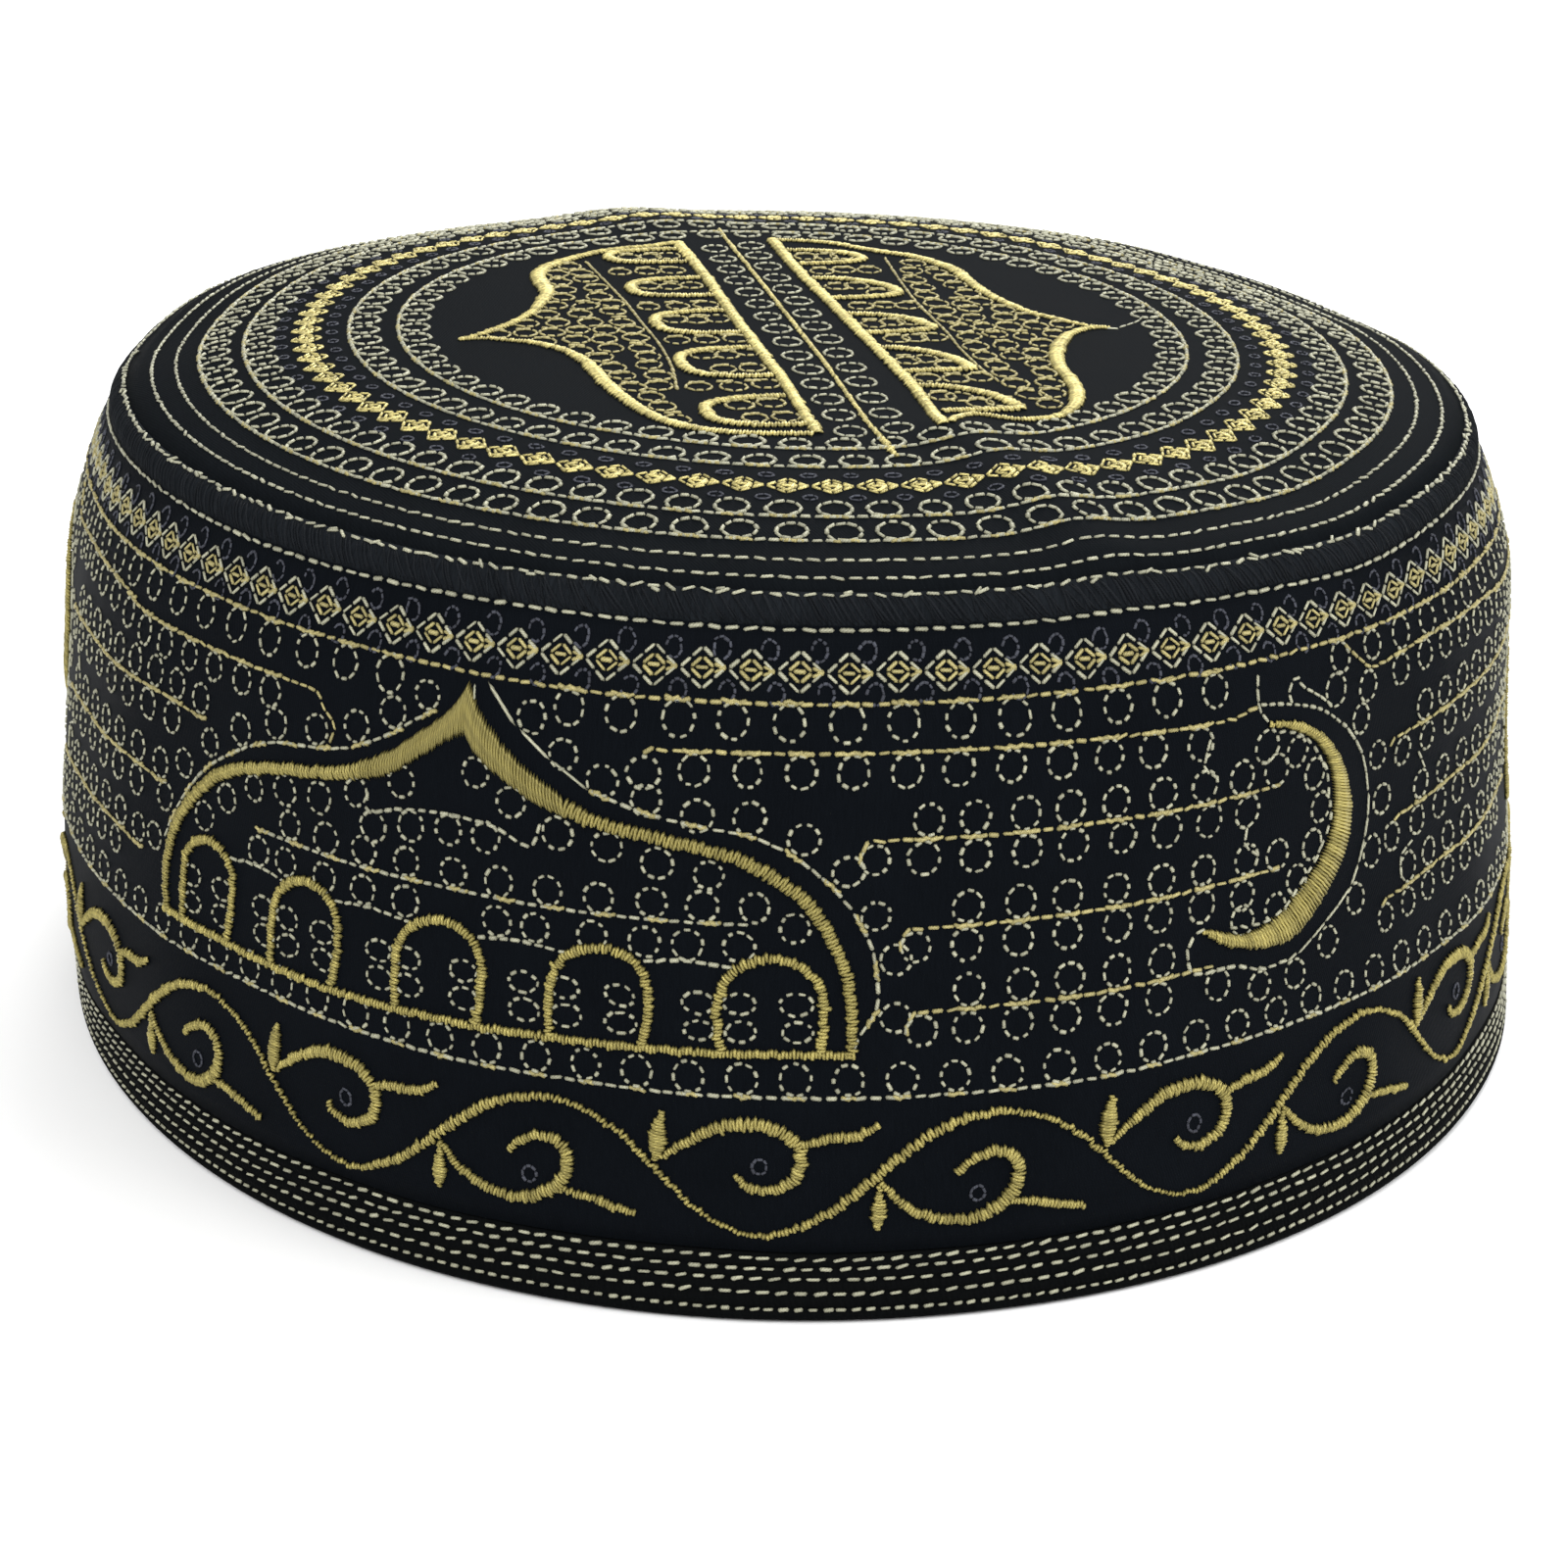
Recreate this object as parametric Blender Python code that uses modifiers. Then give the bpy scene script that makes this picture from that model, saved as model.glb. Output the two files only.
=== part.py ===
"""Soft oval prayer cap: a ribbed hem, an upright cloth wall, a rolled rim seam and a domed crown panel.

Metres, +Z up. The origin is on the surface that the cap rests on, at the middle of its lower edge.
The long axis of the head runs along Y, and the front of the cap faces -Y.
"""

import math
from collections import namedtuple

import bmesh
import bpy

MM = 0.001

# Driving dimensions, in millimetres
HALF_WIDTH = 88.3          # outside of the lower edge, across the head
HALF_LENGTH = 98.5         # outside of the lower edge, along the head
OVAL_POWER = 2.05          # 2 is an ellipse, more is squarer
LEAN = 0.022               # share of its height that the right side lacks and the left side has more
CLOTH = 1.8                # wall of the stiffened cloth
SEAM_CLOTH = 2.2           # wall of the rolled seam
HEM_CLOTH = 2.4            # wall of the ribbed hem
HEM_PROUD = 0.25           # how far the hem stands out past the wall above it
HEM_TOP = 7.6              # height of the hem
HEM_EDGE_ROUND = 0.5       # how far the hem's corners are drawn in
GAP = 0.3                  # clearance between neighbours
CROWN_SEAM_INSET = 4.3     # from the rim in to the crown's own edge, along the cloth

# How finely the oval and its sections are cut
AROUND = 88
BAND_ROWS = 8
SEAM_ROWS = 3
CROWN_ROWS = 10
EDGE_ROW = 0.4             # a narrow row at each cut edge of the cloth keeps that edge square to it

# The cloth from the lower edge up the wall, over the rim and in to the middle of the crown
Section = namedtuple("Section", "height half_width half_length shift_x")
SECTIONS = (
    Section(0.0, HALF_WIDTH, HALF_LENGTH, 0.3),
    Section(20.0, 88.0, 97.6, -0.3),
    Section(40.0, 85.9, 95.3, -0.4),
    Section(58.0, 84.2, 93.5, 0.4),
    Section(69.9, 80.1, 89.1, 0.7),
    Section(73.0, 77.9, 87.0, 0.9),
    Section(74.5, 72.2, 81.4, 1.0),
    Section(75.9, 64.8, 74.0, 1.0),
    Section(77.0, 54.0, 63.0, 1.0),
    Section(77.4, 30.0, 36.0, 1.0),
    Section(77.5, 0.0, 0.0, 1.0),
)
RIM = 4                    # the section at the top of the wall

# Folds of the crown: a line in plan from one end to the other, how wide, how high
Fold = namedtuple("Fold", "start_x start_y end_x end_y spread rise")
FOLDS = (
    Fold(-5.0, 60.0, -9.0, 92.0, 8.0, 0.8),
    Fold(9.0, -50.0, 14.5, -82.0, 5.0, 1.1),
    Fold(38.0, -60.0, 46.0, -76.0, 12.0, -0.7),
    Fold(-74.0, 22.0, -80.0, 26.0, 18.0, -1.0),
    Fold(62.0, 36.0, 75.0, 16.0, 14.0, -0.9),
    Fold(-40.0, 84.0, 50.0, 84.0, 24.0, -0.9),
)
FOLD_FADE = 14.0           # height over which a fold dies out down the wall


def knots(sections):
    """The distance along the cloth of each section, in the plane of the half width."""
    places = [0.0]
    for low, high in zip(sections, sections[1:]):
        places.append(places[-1] + math.hypot(high.half_width - low.half_width, high.height - low.height))
    return places


KNOTS = knots(SECTIONS)


def slope(column, row):
    """The rate at which a column changes at a row, from the rows on both sides."""
    low, high = max(row - 1, 0), min(row + 1, len(SECTIONS) - 1)
    return (SECTIONS[high][column] - SECTIONS[low][column]) / (KNOTS[high] - KNOTS[low])


def section_at(distance):
    """The smooth section that lies this far along the cloth."""
    distance = min(max(distance, 0.0), KNOTS[-1])
    row = max(index for index in range(len(KNOTS) - 1) if KNOTS[index] <= distance)
    span = KNOTS[row + 1] - KNOTS[row]
    t = (distance - KNOTS[row]) / span
    start, end = (1 + 2 * t) * (1 - t) ** 2, t * t * (3 - 2 * t)
    leave, arrive = t * (1 - t) ** 2 * span, t * t * (t - 1) * span
    return Section(*(
        start * SECTIONS[row][column] + end * SECTIONS[row + 1][column]
        + leave * slope(column, row) + arrive * slope(column, row + 1)
        for column in range(len(Section._fields))
    ))


def distance_at_height(height):
    """How far along the cloth the wall reaches a height."""
    low, high = 0.0, KNOTS[RIM + 1]
    for _ in range(40):
        middle = (low + high) / 2
        if section_at(middle).height < height:
            low = middle
        else:
            high = middle
    return low


def oval(half_width, half_length, angle):
    """A point of the oval. Angle 0 faces the front and a quarter turn faces +X."""
    across, along = math.sin(angle), -math.cos(angle)
    return (
        math.copysign(abs(across) ** (2 / OVAL_POWER) * half_width, across),
        math.copysign(abs(along) ** (2 / OVAL_POWER) * half_length, along),
    )


def fold_rise(x, y):
    """The height that the folds add to the crown at a place in plan."""
    total = 0.0
    for fold in FOLDS:
        run_x, run_y = fold.end_x - fold.start_x, fold.end_y - fold.start_y
        t = ((x - fold.start_x) * run_x + (y - fold.start_y) * run_y) / (run_x ** 2 + run_y ** 2)
        t = min(max(t, 0.0), 1.0)
        away = math.hypot(x - fold.start_x - t * run_x, y - fold.start_y - t * run_y)
        total += fold.rise * math.exp(-(away / fold.spread) ** 2)
    return total


def cap_point(distance, angle, proud=0.0):
    """A point of the cap's outer face, in metres."""
    section = section_at(distance)
    x, y = oval(section.half_width + proud, section.half_length + proud, angle)
    x += section.shift_x
    fade = min(max((section.height - SECTIONS[RIM].height + FOLD_FADE) / FOLD_FADE, 0.0), 1.0)
    height = section.height * (1 - LEAN * x / HALF_WIDTH) + fade * fade * fold_rise(x, y)
    return x * MM, y * MM, height * MM


def fabric(name, colour, roughness):
    material = bpy.data.materials.new(name)
    material.use_nodes = True
    shader = material.node_tree.nodes["Principled BSDF"]
    shader.inputs["Base Color"].default_value = (*colour, 1.0)
    shader.inputs["Roughness"].default_value = roughness
    shader.inputs["Metallic"].default_value = 0.0
    return material


def bent_grid(name, rows, place, material, collection):
    """A flat grid, AROUND squares by rows squares, bent by a function of its two shares from 0 to 1."""
    mesh = bpy.data.meshes.new(name)
    bm = bmesh.new()
    bmesh.ops.create_grid(bm, x_segments=AROUND, y_segments=rows, size=0.5)
    for vertex in bm.verts:
        vertex.co = place(vertex.co.x + 0.5, vertex.co.y + 0.5)
    bmesh.ops.remove_doubles(bm, verts=bm.verts, dist=0.00001)
    bmesh.ops.recalc_face_normals(bm, faces=bm.faces)
    bm.to_mesh(mesh)
    bm.free()
    mesh.materials.append(material)
    mesh.shade_smooth()
    mesh.set_sharp_from_angle(angle=math.radians(50))
    piece = bpy.data.objects.new(name, mesh)
    collection.objects.link(piece)
    return piece


def rows_of(low, high, count):
    """Distances along the cloth: count equal rows, with an edge row set in from each end that is a cut edge."""
    start = low + EDGE_ROW
    end = high - EDGE_ROW if high < KNOTS[-1] else high
    rows = [start + (end - start) * step / count for step in range(count + 1)]
    return [low] + rows + ([high] if end < high else [])


def cloth_shell(name, rows, thickness, material, collection):
    """A wall of cloth over a stretch of the profile, with its thickness set inwards."""
    def place(share_around, share_along):
        return cap_point(rows[round(share_along * (len(rows) - 1))], 2 * math.pi * share_around)

    piece = bent_grid(name, len(rows) - 1, place, material, collection)
    wall = piece.modifiers.new("wall", "SOLIDIFY")
    wall.thickness = thickness * MM
    wall.offset = -1.0
    return piece


def hem_ring(name, material, collection):
    """The hem: a ring whose section is a rounded strip with a flat foot."""
    Corner = namedtuple("Corner", "inward height")
    corners = (
        Corner(HEM_EDGE_ROUND, 0.0),
        Corner(0.0, HEM_EDGE_ROUND),
        Corner(0.0, HEM_TOP / 2),
        Corner(0.0, HEM_TOP - HEM_EDGE_ROUND),
        Corner(HEM_EDGE_ROUND, HEM_TOP),
        Corner(HEM_CLOTH, HEM_TOP),
        Corner(HEM_CLOTH, 0.0),
    )

    def place(share_around, share_along):
        corner = corners[round(share_along * len(corners)) % len(corners)]
        x, y, _ = cap_point(
            distance_at_height(corner.height), 2 * math.pi * share_around, HEM_PROUD - corner.inward
        )
        lean = 1 - LEAN * x / (HALF_WIDTH * MM)
        return x, y, corner.height * lean * MM

    return bent_grid(name, len(corners), place, material, collection)


def clear_scene():
    for thing in list(bpy.data.objects):
        bpy.data.objects.remove(thing, do_unlink=True)


def main():
    clear_scene()
    collection = bpy.data.collections.new("prayer_cap")
    bpy.context.scene.collection.children.link(collection)

    ribbed_black = fabric("ribbed_black_cloth", (0.010, 0.011, 0.012), 0.75)
    navy_satin = fabric("navy_black_satin", (0.012, 0.014, 0.017), 0.5)
    thread_black = fabric("black_overcast_thread", (0.010, 0.011, 0.014), 0.6)
    charcoal_satin = fabric("charcoal_satin", (0.028, 0.031, 0.034), 0.45)

    rim = KNOTS[RIM]
    crown_edge = rim + CROWN_SEAM_INSET
    hem_ring("hem_band", ribbed_black, collection)
    band_rows = rows_of(distance_at_height(HEM_TOP + GAP), rim, BAND_ROWS)
    seam_rows = rows_of(rim + GAP, crown_edge, SEAM_ROWS)
    crown_rows = rows_of(crown_edge + GAP, KNOTS[-1], CROWN_ROWS)
    cloth_shell("side_band", band_rows, CLOTH, navy_satin, collection)
    cloth_shell("rim_seam", seam_rows, SEAM_CLOTH, thread_black, collection)
    cloth_shell("crown_top", crown_rows, CLOTH, charcoal_satin, collection)


main()
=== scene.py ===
import math
from collections import namedtuple
from functools import partial
from typing import NamedTuple

import bpy
import numpy as np
from bpy.props import FloatProperty, FloatVectorProperty, IntProperty, PointerProperty
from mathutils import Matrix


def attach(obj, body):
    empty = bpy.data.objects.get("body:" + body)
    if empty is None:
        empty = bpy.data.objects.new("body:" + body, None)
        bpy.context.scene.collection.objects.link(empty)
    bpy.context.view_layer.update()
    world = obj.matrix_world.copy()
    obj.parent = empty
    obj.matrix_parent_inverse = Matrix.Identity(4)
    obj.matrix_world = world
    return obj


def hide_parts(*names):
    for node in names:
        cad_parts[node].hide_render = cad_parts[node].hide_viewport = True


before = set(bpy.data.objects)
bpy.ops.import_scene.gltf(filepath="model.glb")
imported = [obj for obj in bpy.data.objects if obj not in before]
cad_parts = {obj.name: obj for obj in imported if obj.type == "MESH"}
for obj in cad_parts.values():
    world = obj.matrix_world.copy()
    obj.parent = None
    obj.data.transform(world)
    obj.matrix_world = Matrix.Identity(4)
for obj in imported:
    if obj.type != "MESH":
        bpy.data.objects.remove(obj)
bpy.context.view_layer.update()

bl_info = {
    "name": "Embroidered Prayer Cap",
    "version": (1, 0, 0),
    "blender": (4, 5, 0),
    "location": "3D View > Sidebar > Prayer Cap",
    "description": "Dresses the cloth of an oval prayer cap and sews its gold thread pattern",
    "category": "Object",
}

MM = 0.001
NOTHING = 1e-9             # keeps a division off zero
SLOPE_STEP = 0.08          # how far to each side a surface's slope is measured
PROFILE_ROWS = 1200
RING_POINTS = 4097

# The cap's outer face. It holds the same driving dimensions, in millimetres, as the solids do.
HALF_WIDTH = 88.3
HALF_LENGTH = 98.5
OVAL_POWER = 2.05
LEAN = 0.022
HEM_PROUD = 0.25
HEM_SINK = 0.2             # how deep the hem's stitches lie in it
HEM_TOP = 7.6
CROWN_SEAM_INSET = 4.3
FOLD_FADE = 14.0

Section = namedtuple("Section", "height half_width half_length shift_x")
SECTIONS = (
    Section(0.0, HALF_WIDTH, HALF_LENGTH, 0.3),
    Section(20.0, 88.0, 97.6, -0.3),
    Section(40.0, 85.9, 95.3, -0.4),
    Section(58.0, 84.2, 93.5, 0.4),
    Section(69.9, 80.1, 89.1, 0.7),
    Section(73.0, 77.9, 87.0, 0.9),
    Section(74.5, 72.2, 81.4, 1.0),
    Section(75.9, 64.8, 74.0, 1.0),
    Section(77.0, 54.0, 63.0, 1.0),
    Section(77.4, 30.0, 36.0, 1.0),
    Section(77.5, 0.0, 0.0, 1.0),
)
RIM = 4

# Folds of the crown: a line in plan from one end to the other, how wide, how high
Fold = namedtuple("Fold", "start_x start_y end_x end_y spread rise")
FOLDS = (
    Fold(-5.0, 60.0, -9.0, 92.0, 8.0, 0.8),
    Fold(9.0, -50.0, 14.5, -82.0, 5.0, 1.1),
    Fold(38.0, -60.0, 46.0, -76.0, 12.0, -0.7),
    Fold(-74.0, 22.0, -80.0, 26.0, 18.0, -1.0),
    Fold(62.0, 36.0, 75.0, 16.0, 14.0, -0.9),
    Fold(-40.0, 84.0, 50.0, 84.0, 24.0, -0.9),
)

# Slack of the cloth: how many waves go round, how many millimetres deep, how they climb the wall
Wave = namedtuple("Wave", "count depth climb start")
ROLL_REACH = 3.0           # the rolled seam, along the cloth from the rim in
ROLL_BULGE = 0.35          # how far it bulges out
WALL_WAVES = (
    Wave(5, 0.34, 0.03, 0.6),
    Wave(9, 0.22, -0.05, 2.1),
    Wave(16, 0.13, 0.08, 4.0),
    Wave(27, 0.07, -0.12, 1.2),
)
FOOT_HOLD = 12.0           # the height over which the slack grows from nothing at the foot
RIM_HOLD = 14.0            # and that over which it dies out again under the rim


# The outer face of the cloth, in millimetres

def profile_table():
    """Distance along the cloth and the section there, from the lower edge to the middle of the crown."""
    rows = np.array(SECTIONS)
    steps = np.hypot(np.diff(rows[:, 1]), np.diff(rows[:, 0]))
    knots = np.concatenate([[0.0], np.cumsum(steps)])
    low = np.maximum(np.arange(len(rows)) - 1, 0)
    high = np.minimum(np.arange(len(rows)) + 1, len(rows) - 1)
    slopes = (rows[high] - rows[low]) / (knots[high] - knots[low])[:, None]
    distances = np.linspace(0.0, knots[-1], PROFILE_ROWS)
    at = np.clip(np.searchsorted(knots, distances, side="right") - 1, 0, len(rows) - 2)
    span = (knots[at + 1] - knots[at])[:, None]
    t = (distances - knots[at])[:, None] / span
    table = (
        (1 + 2 * t) * (1 - t) ** 2 * rows[at] + t * t * (3 - 2 * t) * rows[at + 1]
        + t * (1 - t) ** 2 * span * slopes[at] + t * t * (t - 1) * span * slopes[at + 1]
    )
    return knots, distances, table


KNOTS, DISTANCES, PROFILE = profile_table()
RIM_DISTANCE = KNOTS[RIM]
CROWN_EDGE = RIM_DISTANCE + CROWN_SEAM_INSET
CLOTH_END = KNOTS[-1]


def section_at(distance):
    """Height, half width, half length and shift of the section at a distance along the cloth."""
    return [np.interp(distance, DISTANCES, PROFILE[:, column]) for column in range(4)]


def distance_at_height(height):
    wall = DISTANCES < RIM_DISTANCE + 2.0
    return np.interp(height, PROFILE[wall, 0], DISTANCES[wall])


def oval(half_width, half_length, angle):
    """A point of the oval. Angle 0 faces the front and a quarter turn faces +X."""
    across, along = np.sin(angle), -np.cos(angle)
    x = np.sign(across) * np.abs(across) ** (2 / OVAL_POWER) * half_width
    y = np.sign(along) * np.abs(along) ** (2 / OVAL_POWER) * half_length
    return x, y


def fold_rise(x, y):
    total = np.zeros_like(x)
    for fold in FOLDS:
        run_x, run_y = fold.end_x - fold.start_x, fold.end_y - fold.start_y
        t = ((x - fold.start_x) * run_x + (y - fold.start_y) * run_y) / (run_x ** 2 + run_y ** 2)
        t = np.clip(t, 0.0, 1.0)
        away = np.hypot(x - fold.start_x - t * run_x, y - fold.start_y - t * run_y)
        total += fold.rise * np.exp(-(away / fold.spread) ** 2)
    return total


def wall_slack(height, angle):
    """How far the slack cloth stands out or in. It dies out at the foot and at the rim."""
    at_foot = np.clip(height / FOOT_HOLD, 0.0, 1.0)
    at_rim = np.clip((SECTIONS[RIM].height - height) / RIM_HOLD, 0.0, 1.0)
    waves = sum(
        wave.depth * np.sin(wave.count * angle + wave.climb * height + wave.start) for wave in WALL_WAVES
    )
    return at_foot * at_rim * waves


def cloth_point(distance, angle, proud=0.0):
    """Points of the cloth's outer face, in millimetres."""
    distance, angle = np.broadcast_arrays(np.asarray(distance, float), np.asarray(angle, float))
    height, half_width, half_length, shift = section_at(distance)
    out = proud + wall_slack(height, angle)
    x, y = oval(half_width + out, half_length + out, angle)
    x = x + shift
    fade = np.clip((height - SECTIONS[RIM].height + FOLD_FADE) / FOLD_FADE, 0.0, 1.0) ** 2
    z = height * (1 - LEAN * x / HALF_WIDTH) + fade * fold_rise(x, y)
    return np.stack([x, y, z], axis=-1)


def turn_table():
    """For one ring: the share of its girth that each angle has reached."""
    angles = np.linspace(0.0, 2 * math.pi, RING_POINTS)
    x, y = oval(SECTIONS[2].half_width, SECTIONS[2].half_length, angles)
    reached = np.concatenate([[0.0], np.cumsum(np.hypot(np.diff(x), np.diff(y)))])
    return reached / reached[-1], angles, reached[-1] / SECTIONS[2].half_width


SHARES, ANGLES, GIRTH_RATIO = turn_table()


def girth(height):
    """The length round the wall at a height."""
    return GIRTH_RATIO * section_at(distance_at_height(height))[1]


BASE_GIRTH = GIRTH_RATIO * HALF_WIDTH


def angle_round(around):
    """The angle at a place round the cap, given as a length round its lower edge."""
    return np.interp((around / BASE_GIRTH) % 1.0, SHARES, ANGLES)


def wall_point(around, height):
    """A point of the wall: how far round it lies, as a length at the lower edge, and its height."""
    return cloth_point(distance_at_height(height), angle_round(around))


def hem_point(around, height):
    """A point sunk a little in the hem's outer face."""
    return cloth_point(distance_at_height(height), angle_round(around), HEM_PROUD - HEM_SINK)


def rolled(distance, angle):
    """Points of the rolled seam between the wall and the crown, by their distance along the cloth."""
    share = np.clip((distance - RIM_DISTANCE) / ROLL_REACH, 0.0, 1.0)
    proud = ROLL_BULGE * np.sin(math.pi * share)
    points = cloth_point(distance, angle, proud)
    points[..., 2] += proud * share
    return points


def roll_point(around, distance):
    """A point of the rolled seam: how far round it lies, and its distance along the cloth."""
    return rolled(distance, angle_round(around))


def crown_point(x, y):
    """A point of the crown over a place in plan, found by halving the distance along the cloth."""
    x, y = np.asarray(x, float), np.asarray(y, float)
    low, high = np.full(x.shape, RIM_DISTANCE + 0.5), np.full(x.shape, CLOTH_END)
    for _ in range(22):
        middle = (low + high) / 2
        _, half_width, half_length, shift = section_at(middle)
        reach = np.abs((x - shift) / np.maximum(half_width, NOTHING)) ** OVAL_POWER
        reach = reach + np.abs(y / np.maximum(half_length, NOTHING)) ** OVAL_POWER
        low = np.where(reach < 1, middle, low)
        high = np.where(reach < 1, high, middle)
    height = section_at((low + high) / 2)[0]
    z = height * (1 - LEAN * x / HALF_WIDTH) + fold_rise(x, y)
    return np.stack([x, y, z], axis=-1)


def unit(vectors):
    return vectors / np.maximum(np.linalg.norm(vectors, axis=-1, keepdims=True), NOTHING)


def outward(surface, a, b):
    """The outward normal of a surface function, from its slopes both ways."""
    along_a = surface(a + SLOPE_STEP, b) - surface(a - SLOPE_STEP, b)
    along_b = surface(a, b + SLOPE_STEP) - surface(a, b - SLOPE_STEP)
    return unit(np.cross(along_a, along_b))


# Sewing: stitches are laid in the flat pattern and then put on the cap

Stitch = namedtuple("Stitch", "a0 b0 a1 b1 width height tone")
Repeat = namedtuple("Repeat", "begin length")    # shares of the way round the cap
FRONT = Repeat(0.0, 1.0)
SATIN_PADDING = 0.2        # how far satin bows up, as a share of a stitch's length
CROWN_PADDING = 0.13       # the same on the crown, where the satin is flatter
MOST_BOW = 0.42            # millimetres
RUN_HEIGHT = 0.8           # how high a running stitch stands, as a share of its width
LOOP_THREAD = 0.9          # the thread of loops and diamonds, as a share of the running thread
KNOT_PITCH = 1.0           # of the doubled stitches
STITCH_LIFT = 0.22         # how far out its middle lies, as a share of its height
LINE_FINENESS = 12         # points of a smooth line between two that were charted
WAY_STEP = 0.25            # how far to each side a line's direction is measured


def run_width():
    """The width of the running thread, in millimetres."""
    return bpy.context.scene.cap_thread.run_width / MM


def flowing(points, closed=False):
    """A smooth line through a few given points."""
    points = np.array(points, float)
    if len(points) < 3:
        return points
    if closed:
        padded = np.concatenate([points[-1:], points, points[:2]])
    else:
        padded = np.concatenate([2 * points[:1] - points[1:2], points, 2 * points[-1:] - points[-2:-1]])
    t = np.linspace(0.0, 1.0, LINE_FINENESS, endpoint=False)[:, None]
    pieces = [
        0.5 * (
            2 * start + (end - before) * t + (2 * before - 5 * start + 4 * end - after) * t * t
            + (3 * start - before - 3 * end + after) * t ** 3
        )
        for before, start, end, after in zip(padded, padded[1:], padded[2:], padded[3:])
    ]
    return np.concatenate(pieces + [points[:1] if closed else points[-1:]])


def line_length(points):
    return float(np.hypot(*np.diff(points, axis=0).T).sum())


def along(points, places):
    """Places at given lengths along a line, with the line's direction there."""
    reached = np.concatenate([[0.0], np.cumsum(np.hypot(*np.diff(points, axis=0).T))])

    def spots(at):
        return np.stack([np.interp(at, reached, points[:, axis]) for axis in (0, 1)], axis=1)

    return spots(places), unit(spots(places + WAY_STEP) - spots(places - WAY_STEP))


def even_steps(length, pitch, least=1):
    """How many steps of about this pitch make up a length."""
    return max(int(round(length / pitch)), least)


def middles(count, whole=1.0):
    """The middles of equal parts of a whole."""
    return (np.arange(count) + 0.5) * whole / count


def square_to(directions):
    return np.stack([-directions[..., 1], directions[..., 0]], axis=-1)


def turned(centre, x, y, turn):
    """A place given from a centre, turned round it."""
    return (
        centre[0] + x * math.cos(turn) - y * math.sin(turn),
        centre[1] + x * math.sin(turn) + y * math.cos(turn),
    )


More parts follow.
